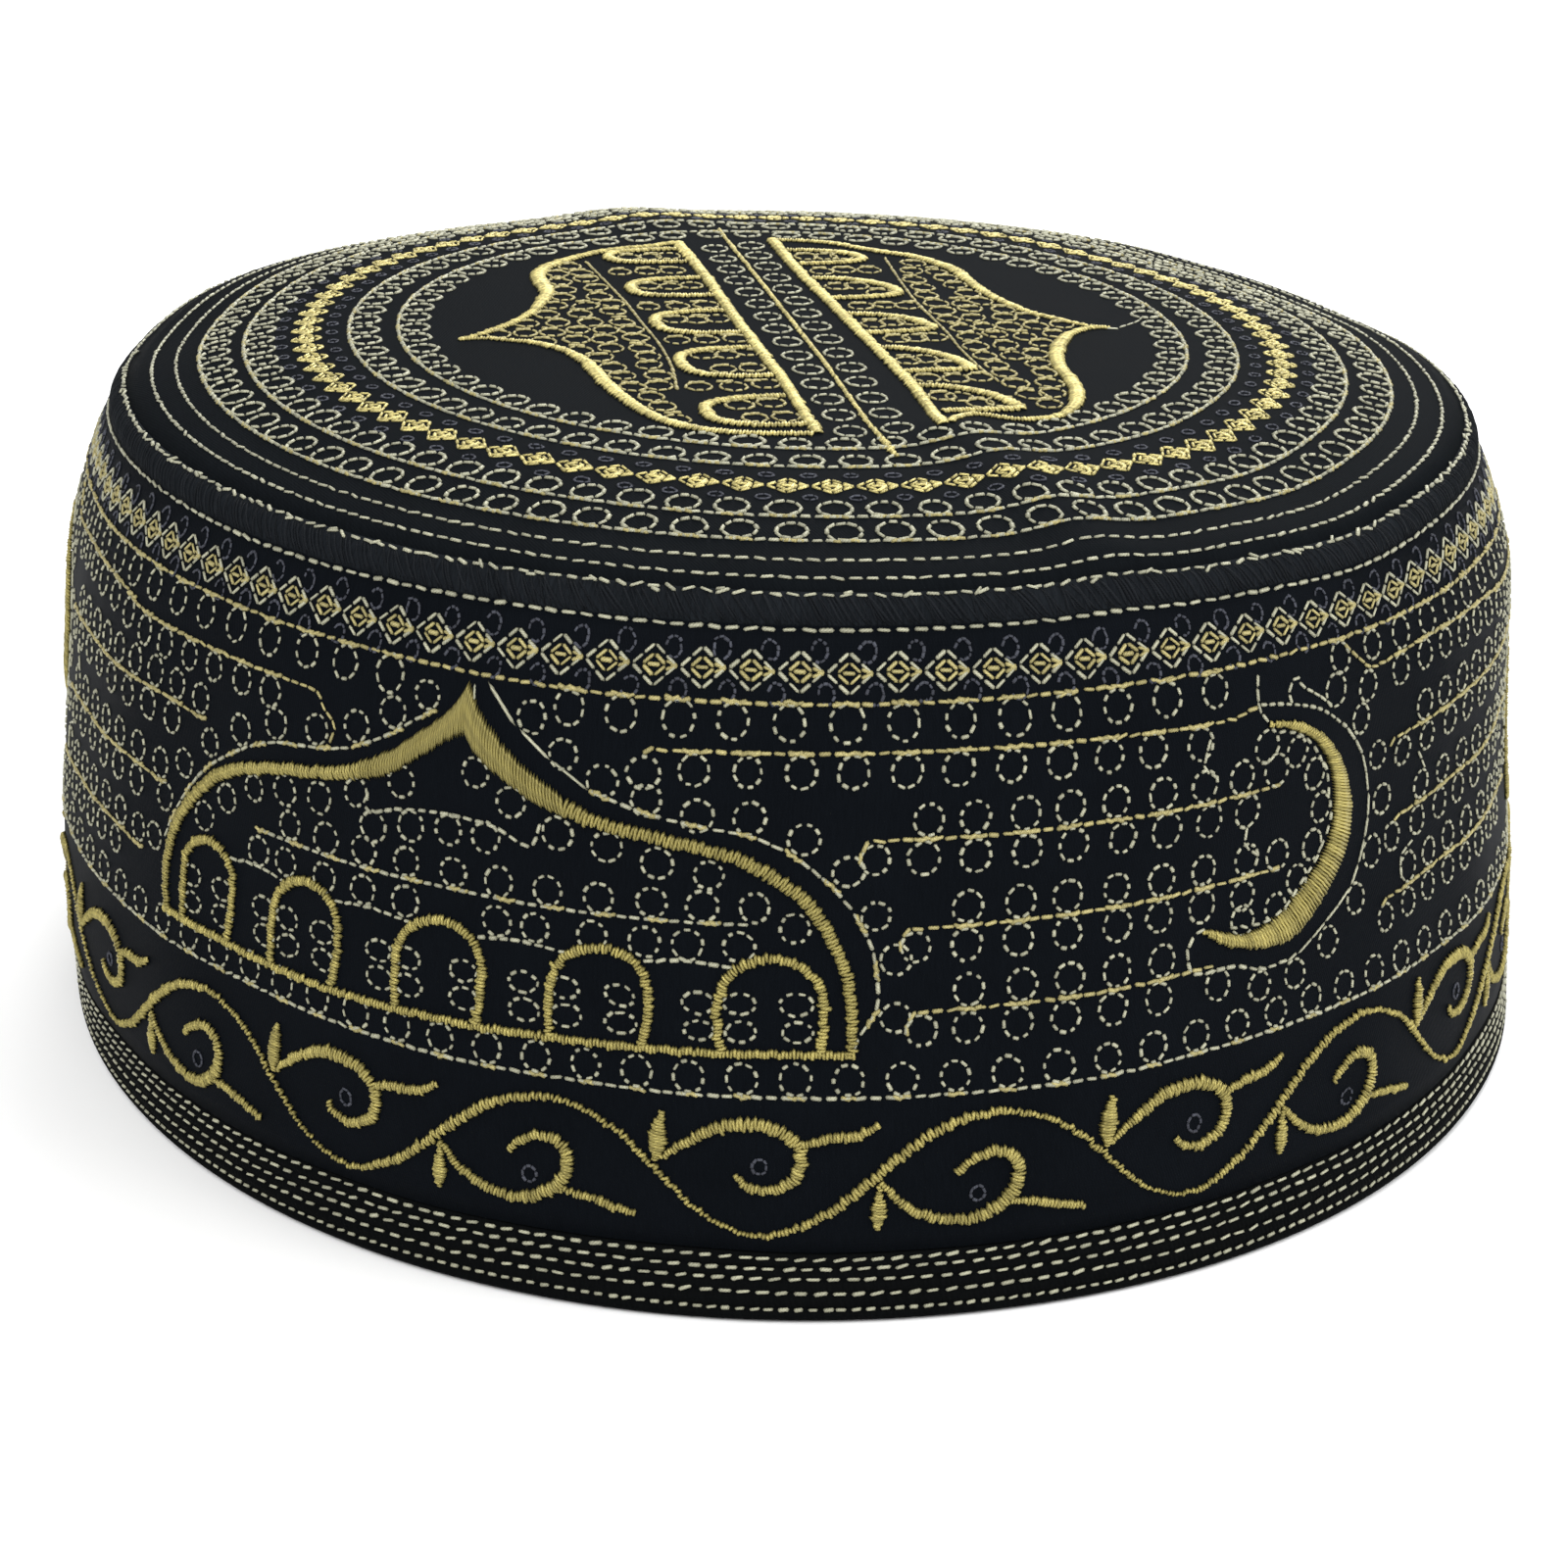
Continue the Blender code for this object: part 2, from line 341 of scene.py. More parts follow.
class Needlework:
    """The stitches of one piece of embroidery, laid in the flat pattern of one surface."""

    def __init__(self, surface, seed):
        self.surface = surface
        self.random = np.random.default_rng(seed)
        self.rows = []

    def placed(self, points, level):
        return points

    def lay(self, starts, ends, width, height, level=None, dull=0.0):
        """Lays stitches.

        A level is the height whose girth scales a small figure, so that it keeps its shape.
        Dull is the share by which the stitches are darker than the rest.
        """
        starts, ends = np.atleast_2d(starts), np.atleast_2d(ends)
        count = len(starts)
        tones = np.clip(self.random.normal(0.5, 0.28, count), 0.0, 1.0) * (1 - dull)
        widths = width * self.random.uniform(0.75, 1.15, count)
        heights = height * self.random.uniform(0.85, 1.15, count)
        starts, ends = self.placed(starts, level), self.placed(ends, level)
        self.rows.append(np.column_stack([starts, ends, widths, heights, tones]))

    def lay_turned(self, spots, ways, turns, half, width, height):
        """Lays stitches by their middles, each turned off its way."""
        reach = (ways + square_to(ways) * turns[:, None]) * half[:, None]
        self.lay(spots - reach, spots + reach, width, height)

    def run(self, points, pitch=1.45, cover=0.82, tilt=0.05, shift=0.0, width=None, closed=False, lean=0.0):
        """Running stitches along a line. Each turns off it by about the lean."""
        width = width or run_width()
        line = flowing(points, closed)
        count = even_steps(line_length(line), pitch)
        pitch = line_length(line) / count
        centres = (np.arange(count) + 0.5 + shift) * pitch
        centres = centres + self.random.normal(0, 0.04 * pitch, count)
        spots, ways = along(line, centres)
        turns = self.random.normal(lean, tilt, count)
        half = pitch * cover / 2 * self.random.uniform(0.9, 1.1, count)
        self.lay_turned(spots, ways, turns, half, width, width * RUN_HEIGHT)

    def twist(self, points, pitch=1.3, swing=0.2, width=None):
        """A couched line: thread that crosses itself to and fro along its way."""
        width = width or run_width()
        line = flowing(points)
        count = even_steps(2 * line_length(line), pitch, 2)
        spots, ways = along(line, middles(count, line_length(line)))
        side = np.where(np.arange(count) % 2, 1.0, -1.0) * swing
        turns = side * self.random.uniform(0.6, 1.4, count)
        half = pitch * 0.47 * self.random.uniform(0.85, 1.15, count)
        spots = spots + self.random.normal(0, 0.05, spots.shape)
        self.lay_turned(spots, ways, turns, half, width * 1.05, width * 0.9)

    def knot(self, spot, reach, way=(1.0, 0.0), swing=0.3):
        """Doubled stitches at one place of a line, where it is sewn over again."""
        spot, way = np.array(spot), np.array(way)
        self.twist([spot - way * reach, spot + way * reach], KNOT_PITCH, swing)

    def knots(self, points, pitch, reach, first):
        """Doubled stitches at even steps of a line."""
        line = flowing(points)
        number = int((line_length(line) - first) / pitch) + 1
        for spot, way in zip(*along(line, first + np.arange(number) * pitch)):
            self.knot(spot, reach, way)

    def loop(self, centre, across=3.2, tall=3.0, turn=0.0, count=9, width=None, cover=0.74,
             begin=None, share=1.0):
        """One loop of running stitches, or a share of one that begins at an angle."""
        width = width or run_width() * LOOP_THREAD
        grow = self.random.normal(1.0, 0.035)
        begin = self.random.uniform(0, 2 * math.pi / count) if begin is None else begin
        angles = begin + 2 * math.pi * share * np.arange(count) / count
        half = math.pi * share / count * cover * self.random.uniform(0.8, 1.15, count)

        def place(angle):
            x, y = across / 2 * grow * np.cos(angle), tall / 2 * grow * np.sin(angle)
            return np.stack(turned(centre, x, y, turn), axis=1)

        ends = place(angles + half)
        ends = ends + self.random.normal(0, 0.07, ends.shape)
        self.lay(place(angles - half), ends, width, width * RUN_HEIGHT, centre[1])

    def loops_along(self, points, pitch, away, size, first=0.5, last=0.5, closed=False, feet=None, **looks):
        """Loops at even steps beside a line, away to its left, or to its right where away is below zero.

        feet is the needlework that takes the doubled stitches where each loop meets the line.
        """
        line = flowing(points, closed)
        room = line_length(line) - (0 if closed else first + last)
        number = even_steps(room, pitch)
        places = np.arange(number + (0 if closed else 1)) * room / number
        for foot, way in zip(*along(line, places + (0 if closed else first))):
            spot = foot + square_to(way) * away + self.random.normal(0, 0.08, 2)
            self.loop(spot, *size, turn=math.atan2(way[1], way[0]), **looks)
            if feet:
                feet.knot(foot, 1.2, way)

    def lay_satin(self, starts, ends, dull):
        thread = bpy.context.scene.cap_thread.satin_width / MM
        self.lay(starts, ends, thread, thread * 0.95, dull=dull)

    def satin(self, points, widths, pitch=0.36, slant=0.2, upright=(0.0, 0.0), dull=0.0):
        """Satin stitches side by side across a line.

        The widths are spread evenly along it, and so are the shares by which the stitches stand upright.
        """
        line = flowing(points)
        count = even_steps(line_length(line), pitch, 2)
        spots, ways = along(line, middles(count, line_length(line)))
        spread = np.linspace(0, 1, count)
        widths = np.interp(spread, np.linspace(0, 1, len(widths)), widths)
        share = np.interp(spread, np.linspace(0, 1, len(upright)), upright)[:, None]
        across = square_to(ways)
        across = across * np.where(across[:, 1:] < 0, -1.0, 1.0)
        across = unit(across * (1 - share) + np.array([0.0, 1.0]) * share)
        half = widths / 2 + self.random.normal(0, 0.05, count)
        lean = np.where(np.arange(count) % 2, slant, -slant * 0.2)
        reach = across * half[:, None] + ways * (lean * np.minimum(widths, 1.6))[:, None] / 2
        ragged = across * self.random.normal(0, 0.08, count)[:, None]
        self.lay_satin(spots - reach + ragged, spots + reach + ragged, dull)

    def satin_between(self, first_edge, second_edge, pitch=0.42, dull=0.0):
        """Satin stitches that reach from one edge to the other."""
        first, second = flowing(first_edge), flowing(second_edge)
        count = even_steps(max(line_length(first), line_length(second)), pitch)
        shares = middles(count)
        starts, _ = along(first, shares * line_length(first))
        ends, _ = along(second, shares * line_length(second))
        strokes = unit(ends - starts)
        starts = starts - strokes * self.random.uniform(-0.05, 0.25, (count, 1))
        ends = ends + strokes * self.random.uniform(-0.05, 0.25, (count, 1))
        self.lay_satin(starts, ends, dull)

    def stitches(self):
        return Stitch(*np.concatenate(self.rows).T)


class WallWork(Needlework):
    """Needlework of the wall, charted by the length round the cap from the front, and by the height."""

    def __init__(self, seed, repeat=FRONT, level=None, surface=wall_point):
        super().__init__(surface, seed)
        self.repeat = repeat
        self.level = level

    def room(self, height):
        """The length from this repeat of the pattern to the next, at a height."""
        return float(girth(height)) * self.repeat.length

    def strung_loops(self, line, first, last, pitch, away, feet=None, size=(3.0, 3.3)):
        """Loops at even steps of a line that runs round the wall, above it or, below zero, under it."""
        path = flowing(line)
        for u in np.linspace(first, last, even_steps(last - first, pitch) + 1):
            height = float(np.interp(u, path[:, 0], path[:, 1]))
            over = u * float(girth(height + away) / girth(height)) + self.random.normal(0, 0.1)
            self.loop((over, height + away), *size, turn=self.random.normal(0, 0.06))
            if feet:
                feet.knot((u, height), 1.1)

    def placed(self, points, level):
        level = self.level or level
        heights = points[:, 1] if level is None else level
        around = (points[:, 0] / girth(heights) + self.repeat.begin) * BASE_GIRTH
        return np.column_stack([around, points[:, 1]])


def add_object(name, data):
    thing = bpy.data.objects.new(name, data)
    bpy.context.scene.collection.objects.link(thing)
    return thing


def deselect_all():
    for thing in list(bpy.context.selected_objects):
        thing.select_set(False)


def select_only(piece):
    deselect_all()
    piece.select_set(True)
    bpy.context.view_layer.objects.active = piece


def read_all(items, field, kind=float, width=1):
    """One field of all the items of a mesh."""
    values = np.empty(len(items) * width, dtype=kind)
    items.foreach_get(field, values)
    return values


def pick_vertices(piece, nearest, farthest):
    """Selects in edit mode the vertices this far from the middle along X."""
    bpy.ops.object.mode_set(mode="EDIT")
    bpy.ops.mesh.select_all(action="DESELECT")
    bpy.ops.object.mode_set(mode="OBJECT")
    for vertex in piece.data.vertices:
        vertex.select = nearest < abs(vertex.co.x) < farthest
    bpy.ops.object.mode_set(mode="EDIT")


def model_stitch(padded):
    """One short bulge of thread, a unit long and wide, whose ends dip into the cloth.

    A padded one has a ring more in its middle, so that it can bow over its padding.
    """
    deselect_all()
    bpy.ops.mesh.primitive_uv_sphere_add(segments=4, ring_count=4 if padded else 3, radius=0.5)
    stitch = bpy.context.object
    stitch.rotation_euler = (0.0, math.pi / 2, 0.0)
    bpy.ops.object.transform_apply(location=True, rotation=True, scale=True)
    pick_vertices(stitch, 0.1, 0.45)
    bpy.ops.transform.resize(value=(1.0, 1.35, 1.35) if padded else (1.4, 1.15, 1.15))
    pick_vertices(stitch, 0.45, 1.0)
    bpy.ops.transform.translate(value=(0.0, 0.0, -0.3))
    bpy.ops.object.mode_set(mode="OBJECT")
    mesh = stitch.data
    corners = read_all(mesh.vertices, "co", width=3)
    # Blender may list the faces in another order each time
    faces = sorted(tuple(polygon.vertices) for polygon in mesh.polygons)
    bpy.data.objects.remove(stitch, do_unlink=True)
    bpy.data.meshes.remove(mesh)
    return corners.reshape(-1, 3), faces


def joined_copies(name, shape, faces, points, tones, material):
    """One mesh of many copies of a small shape. points holds each copy's corners, in millimetres."""
    copies, corners = points.shape[:2]
    one = np.concatenate([np.array(face) for face in faces])
    indices = (one[None, :] + np.arange(copies)[:, None] * corners).ravel()
    totals = np.tile([len(face) for face in faces], copies)
    starts = np.concatenate([[0], np.cumsum(totals)[:-1]])
    mesh = bpy.data.meshes.new(name)
    mesh.vertices.add(copies * corners)
    mesh.vertices.foreach_set("co", (points * MM).astype(np.float32).ravel())
    mesh.loops.add(len(indices))
    mesh.loops.foreach_set("vertex_index", indices.astype(np.int32))
    mesh.polygons.add(len(totals))
    mesh.polygons.foreach_set("loop_start", starts.astype(np.int32))
    mesh.update(calc_edges=True)
    tone = mesh.attributes.new("tone", "FLOAT", "POINT")
    tone.data.foreach_set("value", np.repeat(tones, corners).astype(np.float32))
    turn = np.arctan2(shape[:, 2], shape[:, 1]) / (2 * math.pi)
    flat = np.column_stack([shape[:, 0] + 0.5, turn])
    layer = mesh.uv_layers.new(name="thread")
    layer.data.foreach_set("uv", np.tile(flat[one], (copies, 1)).astype(np.float32).ravel())
    mesh.shade_smooth()
    mesh.materials.append(material)
    return add_object(name, mesh)


def sew(name, works, thread, padding=0.0):
    """Makes the mesh of some needlework and lets it ride on the cap.

    The padding is the share of its length by which a stitch bows up in its middle.
    """
    shape, faces = model_stitch(padding > 0)
    parts, tones = [], []
    for work in works:
        stitch = work.stitches()
        start = work.surface(stitch.a0, stitch.b0)
        end = work.surface(stitch.a1, stitch.b1)
        up = outward(work.surface, (stitch.a0 + stitch.a1) / 2, (stitch.b0 + stitch.b1) / 2)
        side = unit(np.cross(up, end - start))
        middle = (start + end) / 2 + up * (stitch.height * STITCH_LIFT)[:, None]
        bow = np.minimum(np.linalg.norm(end - start, axis=1) * padding, MOST_BOW)
        rise = shape[None, :, 2] * stitch.height[:, None] + (1 - 4 * shape[None, :, 0] ** 2) * bow[:, None]
        parts.append(
            middle[:, None]
            + shape[None, :, :1] * (end - start)[:, None]
            + shape[None, :, 1:2] * (side * stitch.width[:, None])[:, None]
            + rise[:, :, None] * up[:, None]
        )
        tones.append(stitch.tone)
    piece = joined_copies(
        name, shape, faces, np.concatenate(parts), np.concatenate(tones), thread_material(thread))
    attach(piece, "root")


# Cloth

def cloth_net(name, rows, weave, close_middle=False):
    """A net of cloth. rows are functions of the angle that give points in millimetres."""
    around, count = bpy.context.scene.cap_cloth.around, len(rows)
    angles = np.linspace(0.0, 2 * math.pi, around, endpoint=False)
    points = np.stack([row(angles) for row in rows])
    index = np.arange(count * around).reshape(count, around)
    low, high = index[:-1], index[1:]
    quads = np.stack([low, np.roll(low, -1, 1), np.roll(high, -1, 1), high], axis=-1).reshape(-1, 4)
    fans = []
    if close_middle:
        quads = quads[: (count - 2) * around]
        points = np.concatenate([points[:-1].reshape(-1, 3), points[-1:, 0]])
        last = index[-2]
        fans = [(int(last[i]), int(last[(i + 1) % around]), len(points) - 1) for i in range(around)]
    mesh = bpy.data.meshes.new(name)
    mesh.from_pydata((points.reshape(-1, 3) * MM).tolist(), [], quads.tolist() + fans)
    mesh.materials.append(cloth_material(weave))
    mesh.shade_smooth()
    return add_object(name, mesh)


def write_map(net, flat):
    """Gives the cloth its map, in millimetres of cloth."""
    layer = net.data.uv_layers.new(name="cloth")
    layer.data.foreach_set("uv", flat.astype(np.float32).ravel())


def map_ring(net, distances):
    """Maps a ring of cloth: round the lower edge, and along the cloth."""
    mesh, around = net.data, bpy.context.scene.cap_cloth.around
    u = np.linspace(0.0, BASE_GIRTH, around, endpoint=False)
    places = np.stack(np.broadcast_arrays(u[None, :], np.asarray(distances)[:, None]), axis=-1)
    flat = places.reshape(-1, 2)[read_all(mesh.loops, "vertex_index", np.int32)]
    starts = read_all(mesh.polygons, "loop_start", np.int32)
    totals = read_all(mesh.polygons, "loop_total", np.int32)
    owner = np.repeat(np.arange(len(starts)), totals)
    widest = np.maximum.reduceat(flat[:, 0], starts)
    wraps = (widest[owner] - flat[:, 0]) > u[-1] / 2
    flat[wraps, 0] += BASE_GIRTH
    write_map(net, flat)


def thicken(piece, thickness):
    wall = piece.modifiers.new("wall", "SOLIDIFY")
    wall.thickness = thickness
    wall.offset = -1.0
    select_only(piece)
    bpy.ops.object.modifier_apply(modifier="wall")


# Materials

# Each thread: the property that holds its colour, the share of it that is left at its darkest random tone
# and in its painted shade, its gloss, and how often its ply turns along a stitch
Thread = namedtuple("Thread", "colour shade roughness metallic turns shine")
THREADS = {
    "pale_gold_thread": Thread("run_gold", 0.5, 0.42, 0.2, 4.0, 0.3),
    "gold_line_thread": Thread("line_gold", 0.5, 0.42, 0.2, 4.0, 0.3),
    "old_gold_satin_thread": Thread("satin_gold", 0.36, 0.4, 0.45, 3.0, 0.2),
    # painted light: the wall's satin gold, painted lighter on the crown for the stronger light that falls
    # there
    "bright_gold_thread": Thread("crown_gold", 0.3, 0.4, 0.35, 3.0, 0.2),
    "slate_grey_thread": Thread("grey", 0.4, 0.55, 0.0, 4.0, 0.15),
    "black_overcast_thread": Thread("rim_black", 0.5, 0.7, 0.0, 14.0, 0.05),
}
# Each cloth: its colour in the same way, its gloss, and how fine and how deep its weave is
Weave = namedtuple("Weave", "colour shade roughness fineness depth shine")
WEAVES = {
    "navy_satin_cloth": Weave("wall_cloth", 0.75, 0.55, 3.2, 0.35, 0.012),
    "charcoal_satin_cloth": Weave("crown_cloth", 0.75, 0.5, 3.0, 0.35, 0.002),
    "black_seam_cloth": Weave("rim_black", 0.5, 0.7, 2.5, 0.5, 0.01),
    "ribbed_black_cloth": Weave("hem_black", 0.7, 0.75, 1.8, 0.7, 0.015),
}
PLY_DEPTH = 0.6
PLY_RELIEF = 0.00006       # metres, at full depth
WEAVE_RELIEF = 0.00008
FLOOR = (0.92, 0.92, 0.92)
FLOOR_MOTTLE = 0.985       # what is left of it in its darker places


def add_node(tree, kind, settings=None, **inputs):
    """Adds a node, sets its options, and sets or links its inputs by name, or by number as i0, i1."""
    node = tree.nodes.new(kind)
    for key, value in (settings or {}).items():
        setattr(node, key, value)
    for key, value in inputs.items():
        socket = node.inputs[int(key[1:])] if key[0] == "i" and key[1:].isdigit() else node.inputs[key]
        if isinstance(value, bpy.types.NodeSocket):
            tree.links.new(value, socket)
        else:
            socket.default_value = value
    return node


def math_node(tree, operation, first, second=0.0):
    return add_node(tree, "ShaderNodeMath", {"operation": operation}, i0=first, i1=second).outputs[0]


def weighed(tree, first, first_share, second, second_share):
    """The sum of a share of one value and a share of another."""
    return math_node(
        tree, "ADD", math_node(tree, "MULTIPLY", first, first_share),
        math_node(tree, "MULTIPLY", second, second_share))


def wave(tree, turns):
    """A wave that runs through once for each whole turn."""
    return math_node(tree, "SINE", math_node(tree, "MULTIPLY", turns, 2 * math.pi))


def noise(tree, place, scale, detail, roughness):
    return add_node(
        tree, "ShaderNodeTexNoise", {"noise_dimensions": "2D"},
        Vector=place, Scale=scale, Detail=detail, Roughness=roughness).outputs["Fac"]


def new_group(name, inputs, outputs):
    group = bpy.data.node_groups.new(name, "ShaderNodeTree")
    for label, kind in inputs:
        group.interface.new_socket(label, in_out="INPUT", socket_type=kind)
    for label, kind in outputs:
        group.interface.new_socket(label, in_out="OUTPUT", socket_type=kind)
    return group, group.nodes.new("NodeGroupInput"), group.nodes.new("NodeGroupOutput")


def shared_group(make):
    """A group that is built once and named like the function that makes it."""
    return bpy.data.node_groups.get(make.__name__) or make()


def put_out(group, result, height, depth, relief, **values):
    """Links a group's values and the normal that its height gives."""
    bump = add_node(group, "ShaderNodeBump", Strength=depth, Distance=relief, Height=height)
    for label, value in {**values, "Normal": bump.outputs[0]}.items():
        group.links.new(value, result.inputs[label])


def thread_ply():
    """Ply of a sewing thread: slanting ridges round it, with painted shade in the grooves between them. The
    painted end shadow rises to 1 at the stitch's two ends, where the thread dips into the cloth.
    """
    group, given, result = new_group(
        "thread_ply",
        [("Turns", "NodeSocketFloat"), ("Depth", "NodeSocketFloat")],
        [("Ridge", "NodeSocketFloat"), ("Sunk", "NodeSocketFloat"), ("Normal", "NodeSocketVector")],
    )
    uv = add_node(group, "ShaderNodeUVMap", {"uv_map": "thread"})
    split = add_node(group, "ShaderNodeSeparateXYZ", i0=uv.outputs[0])
    from_middle = math_node(group, "ABSOLUTE", math_node(group, "SUBTRACT", split.outputs[0], 0.5))
    # painted shadow at the stitch's two ends, where the thread dips into the cloth
    sunk = math_node(group, "POWER", math_node(group, "MULTIPLY", from_middle, 2.0), 3.0)
    turns = weighed(group, split.outputs[0], given.outputs["Turns"], split.outputs[1], 2.0)
    ridge = add_node(
        group, "ShaderNodeMath", {"operation": "MULTIPLY_ADD"},
        i0=wave(group, turns), i1=0.5, i2=0.5).outputs[0]
    put_out(group, result, ridge, given.outputs["Depth"], PLY_RELIEF, Ridge=ridge, Sunk=sunk)
    return group


def satin_weave():
    """Satin weave: long floats of thread side by side, with small uneven streaks."""
    group, given, result = new_group(
        "satin_weave",
        [("Cloth", "NodeSocketVector"), ("Fineness", "NodeSocketFloat"), ("Depth", "NodeSocketFloat")],
        [("Shade", "NodeSocketFloat"), ("Normal", "NodeSocketVector")],
    )
    split = add_node(group, "ShaderNodeSeparateXYZ", i0=given.outputs["Cloth"])
    across, upward = (
        math_node(group, "MULTIPLY", split.outputs[axis], given.outputs["Fineness"]) for axis in (0, 1))
    diagonal = math_node(group, "ADD", across, math_node(group, "MULTIPLY", upward, 0.35))
    stretched = add_node(
        group, "ShaderNodeCombineXYZ", i0=across, i1=math_node(group, "MULTIPLY", upward, 0.12)).outputs[0]
    streaks = noise(group, stretched, 1.3, 3.0, 0.6)
    blotches = noise(group, given.outputs["Cloth"], 0.11, 4.0, 0.55)
    fine = weighed(group, wave(group, diagonal), 0.3, wave(group, upward), 0.15)
    height = math_node(group, "ADD", fine, math_node(group, "MULTIPLY", streaks, 0.9))
    shade = weighed(group, streaks, 0.6, blotches, 0.4)
    put_out(group, result, height, given.outputs["Depth"], WEAVE_RELIEF, Shade=shade)
    return group


def new_material(name):
    material = bpy.data.materials.new(name)
    material.use_nodes = True
    return material, material.node_tree, material.node_tree.nodes["Principled BSDF"]


def blend_colours(tree, shader, share, dark, light):
    """Feeds the base colour with a blend of two."""
    blend = add_node(
        tree, "ShaderNodeMix", {"data_type": "RGBA"}, i0=share, i6=(*dark, 1.0), i7=(*light, 1.0))
    tree.links.new(blend.outputs[2], shader.inputs["Base Color"])


def shades(look):
    """The darker and the full shade of a thread or cloth."""
    light = tuple(getattr(bpy.context.scene.cap_colours, look.colour))
    return tuple(c * look.shade for c in light), light


def set_gloss(tree, shader, value, share, base, normal, shine):
    """Feeds the roughness with a base and a share of a value, and links the normal."""
    rough = math_node(tree, "ADD", math_node(tree, "MULTIPLY", value, share), base)
    tree.links.new(rough, shader.inputs["Roughness"])
    tree.links.new(normal, shader.inputs["Normal"])
    shader.inputs["Specular IOR Level"].default_value = shine


def thread_material(name):
    if name in bpy.data.materials:
        return bpy.data.materials[name]
    look = THREADS[name]
    material, tree, shader = new_material(name)
    ply = add_node(
        tree, "ShaderNodeGroup", {"node_tree": shared_group(thread_ply)}, Turns=look.turns, Depth=PLY_DEPTH)
    tone = add_node(tree, "ShaderNodeAttribute", {"attribute_name": "tone"}).outputs["Fac"]
    # Colour: the stitch's own random tone, with painted shade in the ply's grooves and painted shadow at its
    # two ends
    tone_and_ply_shade = weighed(tree, tone, 0.65, ply.outputs["Ridge"], 0.35)
    share = math_node(tree, "SUBTRACT", tone_and_ply_shade, math_node(tree, "MULTIPLY", ply.outputs["Sunk"], 0.6))
    blend_colours(tree, shader, share, *shades(look))
    set_gloss(tree, shader, tone, -0.12, look.roughness + 0.06, ply.outputs["Normal"], look.shine)
    shader.inputs["Metallic"].default_value = look.metallic
    return material


def cloth_material(name):
    look = WEAVES[name]
    material, tree, shader = new_material(name)
    cloth = add_node(tree, "ShaderNodeUVMap", {"uv_map": "cloth"}).outputs[0]
    weave = add_node(
        tree, "ShaderNodeGroup", {"node_tree": shared_group(satin_weave)},
        Cloth=cloth, Fineness=look.fineness, Depth=look.depth)
    spread = add_node(tree, "ShaderNodeMapRange", i0=weave.outputs["Shade"], i1=0.35, i2=0.65)
    blend_colours(tree, shader, spread.outputs[0], *shades(look))
    set_gloss(
        tree, shader, weave.outputs["Shade"], 0.2, look.roughness - 0.1, weave.outputs["Normal"], look.shine)
    return material


def floor_material():
    material, tree, shader = new_material("pale_floor")
    mottle = add_node(tree, "ShaderNodeTexNoise", Scale=3.0, Detail=2.0).outputs["Fac"]
    blend_colours(tree, shader, mottle, FLOOR, tuple(c * FLOOR_MOTTLE for c in FLOOR))
    shader.inputs["Roughness"].default_value = 0.9
    return material


# Sizes and colours

COLOUR = {"subtype": "COLOR", "size": 3, "min": 0.0, "max": 1.0}


class CapThread(bpy.types.PropertyGroup):
    run_width: FloatProperty(
        name="Running thread", description="Width of the running stitches' thread",
        default=0.00043, min=0.0002, unit="LENGTH")
    satin_width: FloatProperty(
        name="Satin thread", description="Width of the satin stitches' thread",
        default=0.00044, min=0.0002, unit="LENGTH")
    wall_diamonds: IntProperty(
        name="Diamonds on the wall", description="Diamonds in the row round the wall", default=117, min=8)
    crown_diamonds: IntProperty(
        name="Diamonds on the crown", description="Diamonds in the ring round the crown", default=85, min=8)


class CapCloth(bpy.types.PropertyGroup):
    wall: FloatProperty(
        name="Wall thickness", description="Satin, stiffener and backing of the wall together",
        default=0.0018, min=0.0005, unit="LENGTH")
    hem: FloatProperty(
        name="Hem thickness", description="Folded ribbed cloth of the hem",
        default=0.0024, min=0.0005, unit="LENGTH")
    around: IntProperty(
        name="Points round", description="How finely the cloth is netted round the cap", default=240, min=64)


class CapColours(bpy.types.PropertyGroup):
    run_gold: FloatVectorProperty(
        name="Pale gold", description="Thread of the running stitches, loops and lines",
        default=(0.45, 0.445, 0.32), **COLOUR)
    line_gold: FloatVectorProperty(
        name="Line gold", description="Thread of the doubled lines and of the wall's diamonds",
        default=(0.46, 0.40, 0.17), **COLOUR)
    # The satin gold as it is on the wall; on the crown the same gold is painted lighter
    satin_gold: FloatVectorProperty(
        name="Old gold", description="Thread of the domes, crescents and vine on the wall",
        default=(0.47, 0.40, 0.13), **COLOUR)
    # Painted light: the wall's satin gold, painted lighter here for the stronger light that falls on the
    # crown
    crown_gold: FloatVectorProperty(
        name="Bright gold", description="Thread of the half domes and diamonds on the crown",
        default=(0.80, 0.69, 0.27), **COLOUR)
    grey: FloatVectorProperty(
        name="Slate grey", description="Thread of the small rings", default=(0.075, 0.08, 0.10), **COLOUR)
    wall_cloth: FloatVectorProperty(
        name="Wall cloth", description="Navy black satin of the wall",
        default=(0.0032, 0.0042, 0.0058), **COLOUR)
    # Lighter and greyer than the wall's cloth
    crown_cloth: FloatVectorProperty(
        name="Crown cloth", description="Charcoal satin of the crown",
        default=(0.0054, 0.0066, 0.0079), **COLOUR)
    rim_black: FloatVectorProperty(
        name="Rim black", description="Blue black of the rim seam and of the threads wound over it",
        default=(0.0105, 0.0125, 0.0150), **COLOUR)
    hem_black: FloatVectorProperty(
        name="Hem black", description="Ribbed black of the hem",
        default=(0.0030, 0.0034, 0.0036), **COLOUR)


# The wall's pattern, charted in millimetres: u round the cap from the middle of the front, and height

